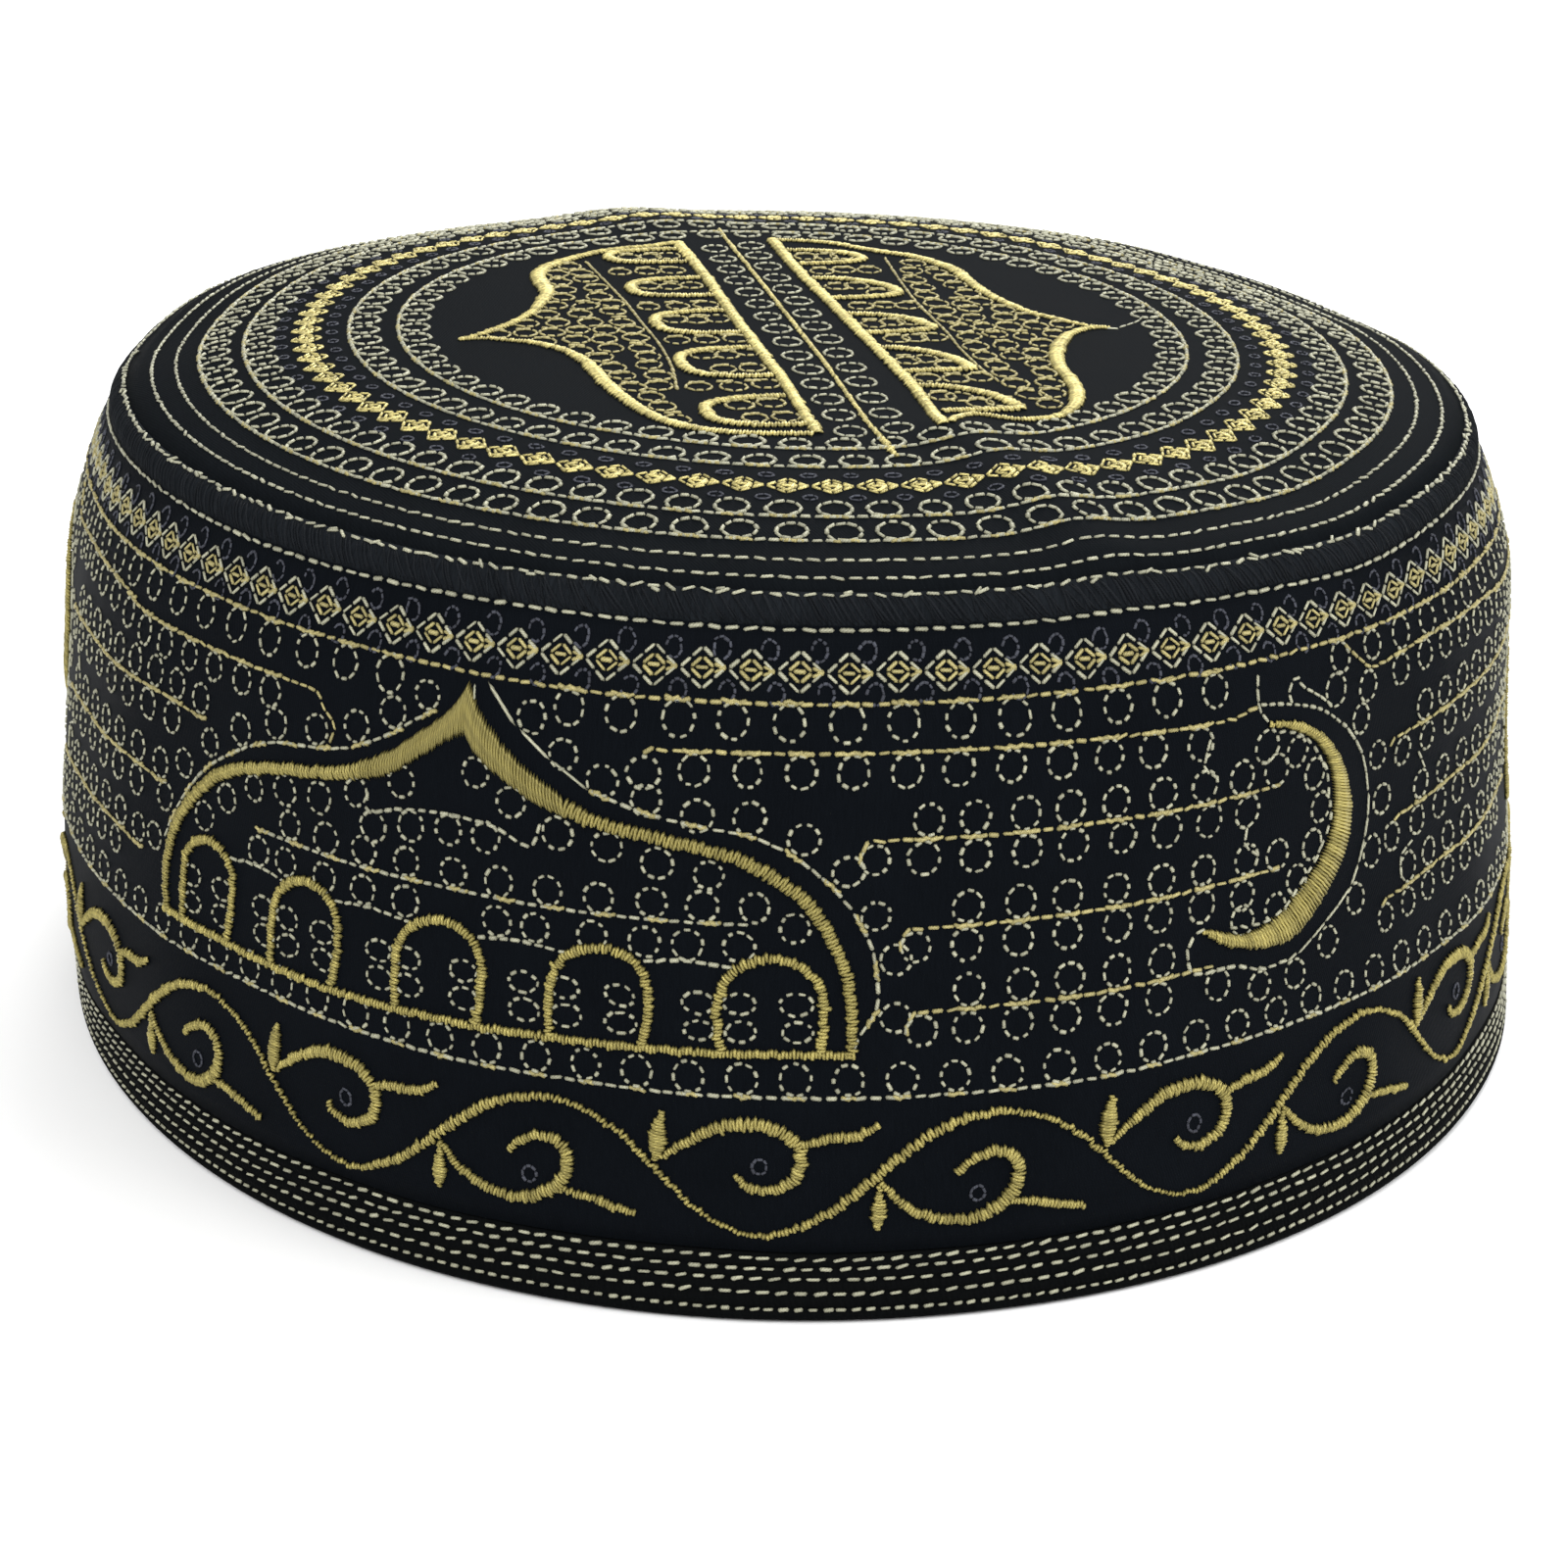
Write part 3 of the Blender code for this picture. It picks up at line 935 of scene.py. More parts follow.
ROW_D = 69.8               # dashes just under the rim seam
DIAMOND_ROW = 65.85
DIAMOND_FIRST = -3.21      # the middle of the diamond nearest to the front
WALL_DIAMOND = (4.3, 3.7)  # how long it is along its row, and how tall
CROWN_DIAMOND = (4.2, 3.7)
INNER_DIAMOND = 0.54       # the smaller one in it, as a share of it
GREY_RINGS = ((1.8, 67.6), (2.45, 63.9))
UPPER_LINE = 63.1          # its loops hang from it
UPPER_PITCH = 5.37
UPPER_FIRST = -39.7        # where its loops begin
UPPER_NEXT = 59.6          # and how far before the next repeat they end
UPPER_CRESCENT = (24.6, 42.4)    # between these, over the crescent, it has none
LOWER_LINE = 24.25         # its loops stand on it
LOWER_SWING = 1.5          # how far it climbs on the left side and drops on the right
LOWER_PITCH = 5.2
LOWER_FIRST = -12.7
LOWER_AWAY = 1.85          # how far over the line the middle of its loops lies
HANGING = -1.75            # the same for loops that hang under their line
HEM_ROWS = (7.1, 5.9, 4.6, 3.1, 1.4)
LAST_ROW_PITCH = 0.76      # that of the lowest row, as a share of the others'
LOOP_PITCH = 5.1
LOOP_AWAY = 1.9
SIDE_PITCH = 4.8
SIDE_LOOP = (2.9, 3.2)     # the slightly smaller loops beside the crescent
COUCHED = {"pitch": 1.4, "cover": 0.94, "tilt": 0.14}
THIN = 0.36                # the width of a thread that slants off or jumps
BOLD = 0.5                 # and that of the crown's looped rings
REPEATS = (Repeat(0.0, 0.333), Repeat(0.333, 0.343), Repeat(0.676, 0.324))

# The first line under the upper one: over the dome's right, beside the crescent, and its tail by the
# next dome, which counts from there
FIRST_LINE = 58.3
FIRST_MIDDLE = (
    (-32, FIRST_LINE - 0.3), (-29, FIRST_LINE + 0.1), (0, FIRST_LINE + 0.35), (24, FIRST_LINE),
    (28, FIRST_LINE + 0.2), (30.3, 59),
)
FIRST_SIDE = ((43.3, 62.4), (45.6, 60.6), (47.7, 59.2), (50, 59.1), (53.2, 59.3), (61.2, 59.7), (75, 59.2))
FIRST_TAIL = ((-74.7, 58.1), (-70, 57.8), (-68.8, 56.4), (-67.4, 54.9), (-67.9, 53.1))

# The long looped lines of the wall. Each starts right of the dome, ends at the crescent, starts again
# on the crescent's other side and goes on to a place before the next dome. Then come the first and the
# last loop above and under it, in the front and at the side. What ends by the next dome counts from it.
LongLine = namedtuple("LongLine", "height start end restart next_end above under side_above side_under")
LONG_LINES = (
    LongLine(50.3, -11.1, 33.9, 52.5, -89.0, (-5.4, 28.6), (-5.4, 29.6), (58.8, -88.6), (54.9, -93.7)),
    LongLine(41.4, -7.0, 34.7, 54.1, -95.5, (-1.1, 29.9), (-1.1, 29.6), (59.5, -96.3), (53.5, -101.3)),
    LongLine(33.0, -6.5, 26.1, 51.6, -101.7, (-0.7, 19.8), (-1.0, 19.0), (57.1, -101.6), (52.2, -107.7)),
)

DOME_TIP = (-50.4, 62.3)
DOME_APEX = (-51.3, 57.1)  # where the two flanks part under the tip
DOME_SPIRE = ((-49.9, 62.2), (-50.1, 59.8))
DOME_LEFT_TOP = (
    (-51.6, 60.6), (-52.9, 59.2), (-54.9, 57.7), (-57.2, 56.1), (-59.5, 54.4), (-61.4, 53.4), (-63.8, 52.3),
)
DOME_LEFT_UNDER = (
    (-52.4, 56.6), (-53.9, 55.8), (-55.3, 54.8), (-57.2, 53.5), (-59.4, 52), (-61.3, 51.1), (-63.7, 50.3),
)
DOME_RIGHT_TOP = (
    (-49.8, 60.6), (-49, 59.3), (-47.9, 58.1), (-46.7, 56.9), (-44.6, 55.4), (-42.6, 54.2), (-40.6, 53.1),
)
DOME_RIGHT_UNDER = (
    (-50.5, 55.9), (-49.4, 54.9), (-47.8, 53.9), (-46, 53), (-44.1, 52.1), (-42.1, 51.4), (-40, 50.8),
)
DOME_WIDTHS = (2.0, 1.7, 1.5, 1.5, 1.5, 1.5, 1.6, 1.6, 1.6, 1.5, 1.4, 1.4, 1.3, 1.2)
DOME_UPRIGHT = (0.3, 0.1, 0.0, 0.0, 0.0, 0.0, 0.0, 0.0, 0.0)
PEAK_DULL = 0.85           # how much darker the satin under the tip is
FLANK_DULL = 0.4
DOME_LEFT = (
    (-63.7, 51.3), (-67, 50.3), (-72.5, 49.25), (-77.5, 48.25),
    (-81, 47.25), (-85, 45.5), (-88.3, 43), (-91.2, 40), (-93.4, 37), (-94.7, 34), (-95.2, 31), (-94.8, 28.6),
)
DOME_RIGHT = (
    (-40.3, 52), (-38, 51.2), (-35, 50.5), (-30, 49.6), (-26, 48.9),
    (-22.5, 47.9), (-19, 45.9), (-16, 43.3), (-14, 40), (-12.75, 37), (-12.25, 34), (-12.25, 30.5),
    (-12.5, 28.25),
)
DOME_LEFT_OUTLINE = (
    (-54.5, 59), (-57.6, 57.2), (-60.5, 55.4), (-65.4, 53.2), (-70, 52.2), (-75, 51.5), (-79, 50.25),
    (-83, 48.25), (-87, 45.75), (-90, 43), (-93, 39.5), (-95.3, 36),
)
DOME_RIGHT_SLOPE = ((-48.3, 62.4), (-46, 59.6), (-42.4, 56.7), (-37.8, 53.9))
DOME_RIGHT_OUTLINE = (
    (-37.8, 53.9), (-32.3, 52.2), (-27.1, 51.2),
    (-22.3, 50.5), (-18.7, 49), (-16, 47.1), (-13.6, 44.9), (-11.5, 42), (-10, 38.5), (-9.75, 33.5),
    (-11.5, 30.5), (-12.2, 29),
)
DOME_OUTER_LOOPS = (
    (-55.4, 60.2), (-59.7, 57.8), (-64.4, 55.5), (-69.75, 54), (-75.6, 53.25), (-81.2, 51.25),
    (-86.5, 48.5), (-91.25, 45), (-95.1, 40.4), (-97.5, 35.5),
    (-43.75, 60), (-40.5, 57), (-36.5, 55), (-32.25, 53.5), (-27.25, 52.25), (-22.25, 52.25),
    (-17, 50.25), (-12.6, 47), (-9.8, 42.5), (-7.9, 38.1), (-8, 32.3),
)
DOME_INNER_LOOPS = (
    (-62, 46), (-57.4, 47), (-53, 47.5), (-48.75, 47.5),
    (-64.25, 49), (-69.25, 47.25), (-74.25, 46.75), (-79, 45.75), (-58.6, 51.25), (-50, 53.75),
    (-46, 51.5), (-41, 49.25), (-36, 48.5), (-31, 47.3), (-26, 46.4),
    (-73.5, 43.3), (-68.25, 43.3), (-63.1, 43.3), (-57.9, 43.3), (-52.4, 43.3), (-47.25, 43.3),
    (-42, 43.3), (-36.75, 43.3), (-31.5, 43.3), (-26.5, 43.3), (-21.5, 43.3), (-17.6, 41.25),
    (-83.5, 43.5), (-87.5, 40.5),
    (-78.5, 39.3), (-74.25, 39.3), (-68.5, 39.3), (-63.25, 39.3), (-58, 39.3), (-47.5, 39.3),
    (-43.4, 39.3), (-37.5, 39.3), (-32.25, 39.3), (-28, 39.3), (-23, 39.3),
)
DOME_CHORD = (
    (-62.75, 49.5), (-62.5, 47.5), (-58.5, 48.5), (-53.5, 49), (-48, 48.75), (-44, 47.5), (-42.75, 50),
)
DOME_ROW = ((-78.25, 41.6), (-50, 41.6), (-22, 41.6))
DOME_BAR = ((-95.7, 28.6), (-88, 28.4), (-77, 28), (-54, 28.2), (-30, 28.5), (-12, 28.6))
Arch = namedtuple("Arch", "left right lean")
ARCHES = (
    Arch(-92.1, -83.8, 1.6), Arch(-77.2, -67.6, 1.7), Arch(-60.0, -50.1, 1.4), Arch(-42.7, -32.6, 1.2),
    Arch(-25.4, -15.15, 0.4),
)
ARCH_TOP = 38.2
ARCH_FOOT = 28.5
SMALL_LOOPS = (
    -90, -84.8, -78, -74.2, -69, -61.5, -58, -51.5, -44.9, -40.6, -34.9, -27.1, -23.1, -17.5,
)
SMALL_LOOP_HEIGHTS = (33.6, 30.8)

CRESCENT_OUTER = (
    (31.8, 57.1), (35.4, 56.5), (39.4, 54.5), (43.1, 50.8), (45.4, 46.4), (45.9, 44.1), (45.6, 41.6),
    (44.3, 39.3), (42.3, 37.1), (39.4, 34.7), (36.6, 33.3), (33.4, 33.2), (30.3, 33.8), (27.3, 34.8),
    (24.6, 36.8),
)
CRESCENT_INNER = (
    (31.8, 56.8), (35.0, 55.8), (37.4, 54.7), (39.3, 53.2), (40.6, 51.5), (41.6, 49.8), (42.2, 47.6),
    (42.4, 45.5), (42.2, 43.8), (41.6, 42.3), (40.4, 40.8), (38.6, 39.3), (36.4, 37.8), (34.4, 36.5),
    (32.1, 35.8), (29.5, 35.5), (24.6, 37.2),
)
CRESCENT_INLINE = (
    (33.1, 55.9), (35.2, 55.4), (36.9, 54.6), (38.5, 53.2), (39.7, 51.7), (40.8, 50.2), (41.5, 47.5),
    (42.1, 45.2), (41.8, 43.8), (41.1, 42.5), (40.2, 41.1), (38.9, 39.9), (37.2, 38.5), (35.8, 37.2),
    (33.5, 36.2), (31, 36.1), (27.9, 36.5),
)
CRESCENT_TOP_LINE = ((30.4, 59.1), (34.7, 58.3), (39.4, 56.8), (43.9, 53.9))
CRESCENT_SIDE_LINE = (
    (43.9, 53.9), (46.8, 50.6), (48.4, 47.1), (49, 43.8), (48.4, 40.4), (46.7, 37.1), (45, 35.5),
    (41.4, 33.5), (37.3, 31.4),
)
CRESCENT_TIP_LINE = (
    (37.3, 31.4), (32.5, 31.2), (28.8, 32.3), (23.8, 32.7), (22.8, 34.9), (23.6, 36.5), (25, 37.2),
)
CRESCENT_LOOPS = (
    (31.7, 54.7), (33.2, 52), (36, 53.2), (38.9, 50.3), (40.3, 46.4), (39.3, 42.6), (37.1, 39.5),
    (34.1, 37.2), (29.7, 36.9), (34.1, 42.8), (41.8, 58.2), (46.4, 54.1), (50.1, 49.3), (51.5, 44.1),
    (49.9, 38.9), (46.9, 34.7), (42.1, 31.5), (37, 29.5), (32, 29.5), (26.6, 30.9),
)
THREAD_JUMPS = (
    ((24.3, 56.9), (23.8, 55.1), (23.9, 53.9), (25.6, 52.6)), ((29.7, 46.8), (29.8, 44.8), (31.6, 43.3)),
    ((58.2, 47.5), (60, 45.1)), ((31.7, 57.1), (30.4, 59.1), (30.4, 62.2)),
    ((58.1, 37.8), (55.7, 36.7), (55.6, 34.1)),
    ((35.1, 58.1), (34.7, 59.6), (35.8, 60.6), (36.8, 59.6), (39.3, 58.1), (41.3, 56.7)),
)

# The vine. Its repeat starts at a place where the stem falls and is charted from there.
VINE_LEVEL = 16.0
VINE_REPEATS = 13
VINE_FIRST = -33.0
VINE_REPEAT = 45.0

# One row for each part of a repeat: its line, its widths, its pitch and how its stitches slant
VineRow = namedtuple("VineRow", "line widths pitch slant")
UPPER_RING = (11.2, 16.9)
LOWER_RING = (32.6, 13.5)
VINE_ROWS = (
    VineRow(((0, 16.8), (2.7, 13.9), (4.6, 12), (6.7, 10.6), (9.2, 9.6)), (0.85, 0.75, 0.55, 0.5), 0.46, 0.7),
    VineRow(
        ((9.2, 9.6), (12, 9.5), (15.1, 10.7), (18.2, 12.4), (21.8, 15.3), (24.9, 17.9), (28.5, 20.4),
         (31.9, 21.7), (35.2, 22.2)),
        (0.5, 0.8, 1.1, 1.25, 1.3, 1.25, 1.1, 0.9), 0.4, 0.35),
    VineRow(
        ((35.2, 22.2), (37.2, 21.8), (39.8, 20.9), (42, 19.6), (43.6, 18.3), (45, 16.8)),
        (0.85, 0.6, 0.7, 0.9), 0.42, 0.6),
    VineRow(
        ((1.4, 17.2), (4.4, 19.3), (7.5, 20.9), (10.6, 21.3), (13.1, 20.8), (14.9, 19.4), (15.3, 17.6),
         (14.6, 15.8), (12.9, 14.7), (11.3, 14.4), (9.5, 15), (8.9, 16)),
        (0.7, 1.2, 1.4, 1.6, 1.6, 1.5, 1.4, 1.2, 0.8), 0.35, 0.2),
    VineRow(((15.4, 19.4), (18, 20), (20.5, 20.2), (23, 21.4)), (0.9, 1.2, 1.2, 0.7), 0.35, 0.2),
    VineRow(((0.9, 16.8), (1.3, 19.7), (1.7, 22.2)), (0.9, 1.9, 2.1, 1.6, 0.6), 0.31, 0.1),
    VineRow(
        ((23, 15.4), (24.2, 13.9), (25.5, 12.5), (27.8, 11.3), (30.5, 10.8), (32.6, 11), (34.6, 12),
         (36.1, 13.4), (36.8, 15.2), (36.4, 17), (35, 17.9), (33.3, 17.7), (31.6, 16.8), (30.5, 15.8)),
        (0.7, 1.1, 1.2, 1.3, 1.5, 1.7, 1.6, 1.4, 1.2, 0.8), 0.35, 0.2),
    VineRow(((35.8, 12.4), (38.6, 12), (41.2, 11.3), (43.6, 10.7)), (0.8, 1.0, 1.1, 0.8), 0.35, 0.2),
    VineRow(((22.9, 15), (22.8, 12.4), (22.4, 10.2)), (0.6, 1.0, 1.8, 1.7, 0.6), 0.31, 0.1),
)

# The crown's pattern, charted in plan: millimetres to the right and to the back
CROWN_MIDDLE = (0.8, -1.5)
ROW_B = (75.2, 84.4)
ROW_A = (72.4, 81.2)
LOOP_RINGS = ((69.7, 77.5), (64.5, 72.5), (52.2, 59.2), (46.4, 53.0))
DIAMOND_RING = (57.2, 65.0)
CROWN_LOOP_PITCH = 5.2
OVAL_POINTS = 72
STRIP_LINE = ((2.5, 53), (2.2, 42), (1.8, 18.8), (1.5, 2.4), (1.1, -20), (0.4, -42.4), (0.3, -57.1))
STRIP_LOOP_PITCH = 6.4
STRIP_END = ((0.4, -52.5), (0.3, -57.6))
FILL_MARGIN = 2.2          # how far the half domes' loops stay off their outline and their chord
FILL_FIRST = 2.1           # their first one, from the chord
FILL_PITCH = 2.9


class HalfDome(NamedTuple):
    """One half dome of the crown: its bar, its outline, its chord and its arches."""
    side: int              # -1 opens to the left of its bar, 1 to the right
    bar: tuple
    back: tuple
    back_widths: tuple
    front: tuple
    front_widths: tuple
    chord: tuple
    arches: tuple          # where each leaves the bar, its tip, and where it comes back: y, x, y, y
    bend: float            # how square the upper side of an arch is
    loops: tuple           # rows of small loops in and between the arches


HALF_DOMES = (
    HalfDome(
        side=-1,
        bar=((-4.6, 45), (-4.6, 23.8), (-5, 5), (-5.1, -11), (-5.2, -25.8), (-5.6, -38.3), (-5.9, -48.2)),
        back=(
            (-4.9, 45.1), (-8.4, 43.2), (-12.6, 42.2), (-16.9, 39.7), (-20.7, 36.1), (-23.9, 32.3),
            (-25.4, 28.2), (-25.7, 23.3), (-25.6, 18.5), (-27.1, 13.3), (-28.9, 8.4), (-31.6, 3.8),
            (-34.4, 0.5), (-37.1, -2.1), (-39, -3.3),
        ),
        back_widths=(1.2, 1.2, 1.3, 1.5, 2.0, 2.3, 2.3, 1.9, 1.5, 1.2, 1.0, 0.6),
        front=(
            (-39, -3.3), (-36.3, -3.1), (-33.6, -4.5), (-30.9, -6.1), (-28.3, -9.1), (-26.4, -13.8),
            (-25.5, -19.5), (-25, -25.6), (-24.2, -31), (-22.9, -36.8), (-21, -41.5), (-18.3, -44.8),
            (-14.9, -46.7), (-11.1, -47.8), (-6.4, -48.4),
        ),
        front_widths=(0.6, 0.9, 1.2, 1.6, 2.0, 1.9, 1.7, 1.6, 1.5, 1.3, 1.2),
        chord=(
            (-18.3, 35.2), (-17.5, 23.4), (-16.8, 11.8), (-16.5, 0.2), (-16.2, -8.3), (-16.5, -18.7),
            (-17.6, -28.8),
        ),
        arches=(
            (41.1, -15.5, 37.1, 33.3), (23.9, -15.5, 18.6, 14.3), (6.3, -15.5, 1, -4.9),
            (-12, -15.7, -17.8, -24.8), (-33.4, -16.6, -38.6, -44.8),
        ),
        bend=3.0,
        loops=(
            (37.3, -12.4, -9.7, -7.2), (28.8, -14.9, -11.4, -8.1), (20.3, -12.6, -9.9, -7.2),
            (9.6, -14.4, -10.8, -7.3), (2.4, -12.4, -9.8, -7.2), (-7.4, -13.8, -10.4, -6.8),
            (-14.6, -12, -9.3, -6.6), (-21.2, -10.9, -7.6), (-28.2, -15, -11.2, -7.4), (-36, -12, -8.4),
            (-41.6, -11.3, -7.9),
        ),
    ),
    HalfDome(
        side=1,
        bar=(
            (8.3, 45.2), (7.9, 32.2), (7.9, 19.8), (8.1, 8.3), (8.4, -10), (8.6, -22.9), (8.6, -35),
            (7.5, -49.7),
        ),
        back=(
            (8.1, 45.4), (11.8, 44.4), (15.6, 42.3), (18.4, 39), (21.1, 36), (23.8, 33.7), (25.7, 30.7),
            (27.1, 27.4), (28, 24), (28.2, 18.8), (28.4, 13.3), (29.1, 8.4), (30.1, 4.4), (31.2, 0.9),
            (32.6, -1.3), (34.1, -3.4), (35.5, -5.3), (36.9, -6.9), (39, -7.6),
        ),
        back_widths=(1.1, 1.1, 1.2, 1.3, 1.6, 1.9, 1.9, 1.6, 1.4, 1.2, 1.0, 0.8, 0.6),
        front=(
            (38.6, -7.5), (36.6, -7.6), (33.8, -9.6), (31.5, -12.9), (29.8, -16.6), (28.4, -21),
            (27.5, -25.3), (27.3, -28.9), (27, -32.4), (26.2, -36.5), (24.9, -40.3), (23.2, -43.4),
            (21.6, -45.1), (19.7, -45.9), (16.9, -46.1), (14.8, -45.1), (13.1, -44), (11, -44.9),
            (8.3, -49.2),
        ),
        front_widths=(0.7, 1.2, 1.9, 2.2, 2.0, 1.9, 1.9, 2.0, 1.9, 1.5, 1.1, 1.0, 1.0, 1.1),
        chord=(
            (20.8, 33), (19.5, 18.5), (18.8, 7), (18.7, -7.6), (18.3, -15.4), (18.4, -25), (18.9, -30.4),
        ),
        arches=(
            (38.6, 18.1, 32.8, 30.1), (22, 18.3, 13.3, 10.7), (2.6, 17.9, -5.2, -7),
            (-14, 17.7, -24.8, -25), (-31, 18.6, -41.8, -42),
        ),
        bend=1.9,
        loops=(
            (34.6, 10.6, 13.2, 15.4), (26, 10.8, 13.8, 17), (17, 10.9, 13.4), (13.4, 15.4),
            (6.2, 11.5, 14.6, 17.2), (-2.2, 10.9, 13.4, 15.6), (-10, 12, 14.2, 16.6), (-19.6, 10.9, 13),
            (-22.4, 15), (-28.2, 11.2, 14.4, 17.2), (-35.6, 11, 12.8), (-38.8, 14.4, 16.6),
        ),
    ),
)
THREAD_TAIL = ((38.6, -7.5), (39.7, -7.8), (43.2, -4.8), (44.6, -2.6))

# The cloth's edges and the threads wound over the rim seam, in millimetres
WALL_MIDDLE = 35.0         # the height at which the wall's cloth is measured
EDGE_GAP = 0.1             # a small step off a seam
EDGE_LAP = 0.2             # how far a cloth reaches under the next one
FINE_CROWN = 40.0          # where the fine rows of the crown's net end, in from its seam
COARSE_CROWN = 43.0        # and where the coarse ones begin
HEM_CORNER = 0.55          # over which the hem's corners are rounded
RIB_WIDTH = 0.36
WOUND_RADIUS = 0.12
WOUND_TAPER = (0.35, 1.0, 1.0, 1.0, 1.0, 0.35)

# The studio: each lamp's name, its place and size in metres, and its power in watts
LAMPS = (
    ("key_light", (-0.55, -0.75, 1.05), 0.9, 12.5),
    ("fill_light", (0.9, -0.5, 0.7), 0.9, 9.5),
    ("back_light", (0.5, 1.0, 0.9), 1.0, 16.0),
)
LAMP_AIM = 0.04            # the height that they look at
SKY_STRENGTH = 0.75
FLOOR_SIZE = 6.0
FLOOR_DROP = 0.0002        # it lies this far under the cap's lower edge


def diamond(work, knots, centre, across, tall, way, fill=0):
    """A stitched diamond, with a number of stitches that fill it.

    knots takes the smaller diamond in it, the bar in the middle and the link to the next one.
    """
    thread = run_width() * LOOP_THREAD

    def side(start, end, count=1, cover=1.0, sewn=knots, bold=1.0):
        start, end = np.array(start), np.array(end)
        for step in range(count):
            shares = [(step + (1 + sign * cover) / 2) / count for sign in (-1, 1)]
            ends = [turned(centre, *(start + (end - start) * share), way) for share in shares]
            sewn.lay(*ends, thread * bold, thread * RUN_HEIGHT * bold)

    for size, count, sewn in ((1.0, 2, work), (INNER_DIAMOND, 1, knots)):
        tips = [(across / 2 * size, 0), (0, tall / 2 * size), (-across / 2 * size, 0), (0, -tall / 2 * size)]
        for start, end in zip(tips, tips[1:] + tips[:1]):
            side(start, end, count, 0.95, sewn)
    side((-across * 0.17, 0.05), (across * 0.15, 0), bold=1.2)
    for rise in (0.11, 0.0, -0.11):
        side((across * (0.36 - abs(rise)), tall * rise), (across * 0.54, 0), bold=1.1)
    for share in middles(fill) - 0.5:
        start = (across * (0.3 - abs(share) * 0.3), tall * 0.62 * share)
        side(start, (across * (share * 0.3 - 0.06), -tall * 0.36), sewn=work)


def oval_line(half_width, half_length):
    """A closed line in plan round the middle of the crown."""
    x, y = oval(half_width, half_length, np.linspace(0.0, 2 * math.pi, OVAL_POINTS, endpoint=False))
    return np.column_stack([x + CROWN_MIDDLE[0], y + CROWN_MIDDLE[1]])


def round_crown(ring, count, shift=0.0):
    """Even places of a ring round the crown, with the ring's turn at each."""
    line = flowing(oval_line(*ring), closed=True)
    places = (np.arange(count) + shift) * line_length(line) / count
    return [(spot, math.atan2(way[1], way[0])) for spot, way in zip(*along(line, places))]


def arch_line(arch):
    """A round arch on two feet, whose top leans to one side."""
    middle, half = (arch.left + arch.right) / 2, (arch.right - arch.left) / 2
    spring = ARCH_TOP - half * 0.9
    knee = (ARCH_FOOT + spring) / 2
    points = [(arch.left + 0.3, ARCH_FOOT), (arch.left, knee)]
    points += [
        (middle - half * math.cos(angle), spring + half * 0.9 * math.sin(angle))
        for angle in np.linspace(0.0, math.pi, 7)
    ]
    points += [(arch.right, knee), (arch.right - 0.3, ARCH_FOOT)]
    return [(u + arch.lean * (height - ARCH_FOOT) / (ARCH_TOP - ARCH_FOOT), height) for u, height in points]


def wall_works(seed):
    """Needlework for each repeat of the wall's pattern, each with random draws of its own."""
    return [WallWork(seed + number, repeat) for number, repeat in enumerate(REPEATS)]


def vine_line(step, line):
    """A line of the vine's chart, placed in one of its repeats round the wall."""
    repeat = float(girth(VINE_LEVEL)) / VINE_REPEATS
    return [(VINE_FIRST + step * repeat + u * repeat / VINE_REPEAT, height) for u, height in line]


# Operators

class PieceOperator(bpy.types.Operator):
    """Base of the cap's operators"""
    bl_options = {"REGISTER", "UNDO"}


class CAP_OT_wall_cloth(PieceOperator):
    """Makes the wall's navy satin over its stiffener"""
    bl_idname = "cap.wall_cloth"
    bl_label = "Wall Cloth"

    def execute(self, context):
        rows = np.linspace(distance_at_height(HEM_TOP + EDGE_GAP), RIM_DISTANCE + EDGE_LAP, 30)
        piece = cloth_net("wall_cloth", [partial(cloth_point, row) for row in rows], "navy_satin_cloth")
        map_ring(piece, rows)
        thicken(piece, context.scene.cap_cloth.wall)
        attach(piece, "root")
        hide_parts("side_band")
        length, height = girth(WALL_MIDDLE) * MM, (rows[-1] - rows[0]) * MM
        return {"FINISHED"}


class CAP_OT_crown_cloth(PieceOperator):
    """Makes the crown panel of satin, lighter and greyer than the wall's, with its fold and dents"""
    bl_idname = "cap.crown_cloth"
    bl_label = "Crown Cloth"

    def execute(self, context):
        edge = RIM_DISTANCE + ROLL_REACH
        rows = np.concatenate([
            np.linspace(edge, CROWN_EDGE + FINE_CROWN, 19),
            np.linspace(CROWN_EDGE + COARSE_CROWN, CLOTH_END, 13),
        ])
        nets = [partial(cloth_point, row) for row in rows]
        piece = cloth_net("crown_cloth", nets, "charcoal_satin_cloth", close_middle=True)
        plan = read_all(piece.data.vertices, "co", width=3).reshape(-1, 3)[:, :2] / MM
        write_map(piece, plan[read_all(piece.data.loops, "vertex_index", np.int32)])
        thicken(piece, context.scene.cap_cloth.wall)
        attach(piece, "root")
        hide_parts("crown_top")
        _, half_width, half_length, _ = section_at(edge)
        return {"FINISHED"}


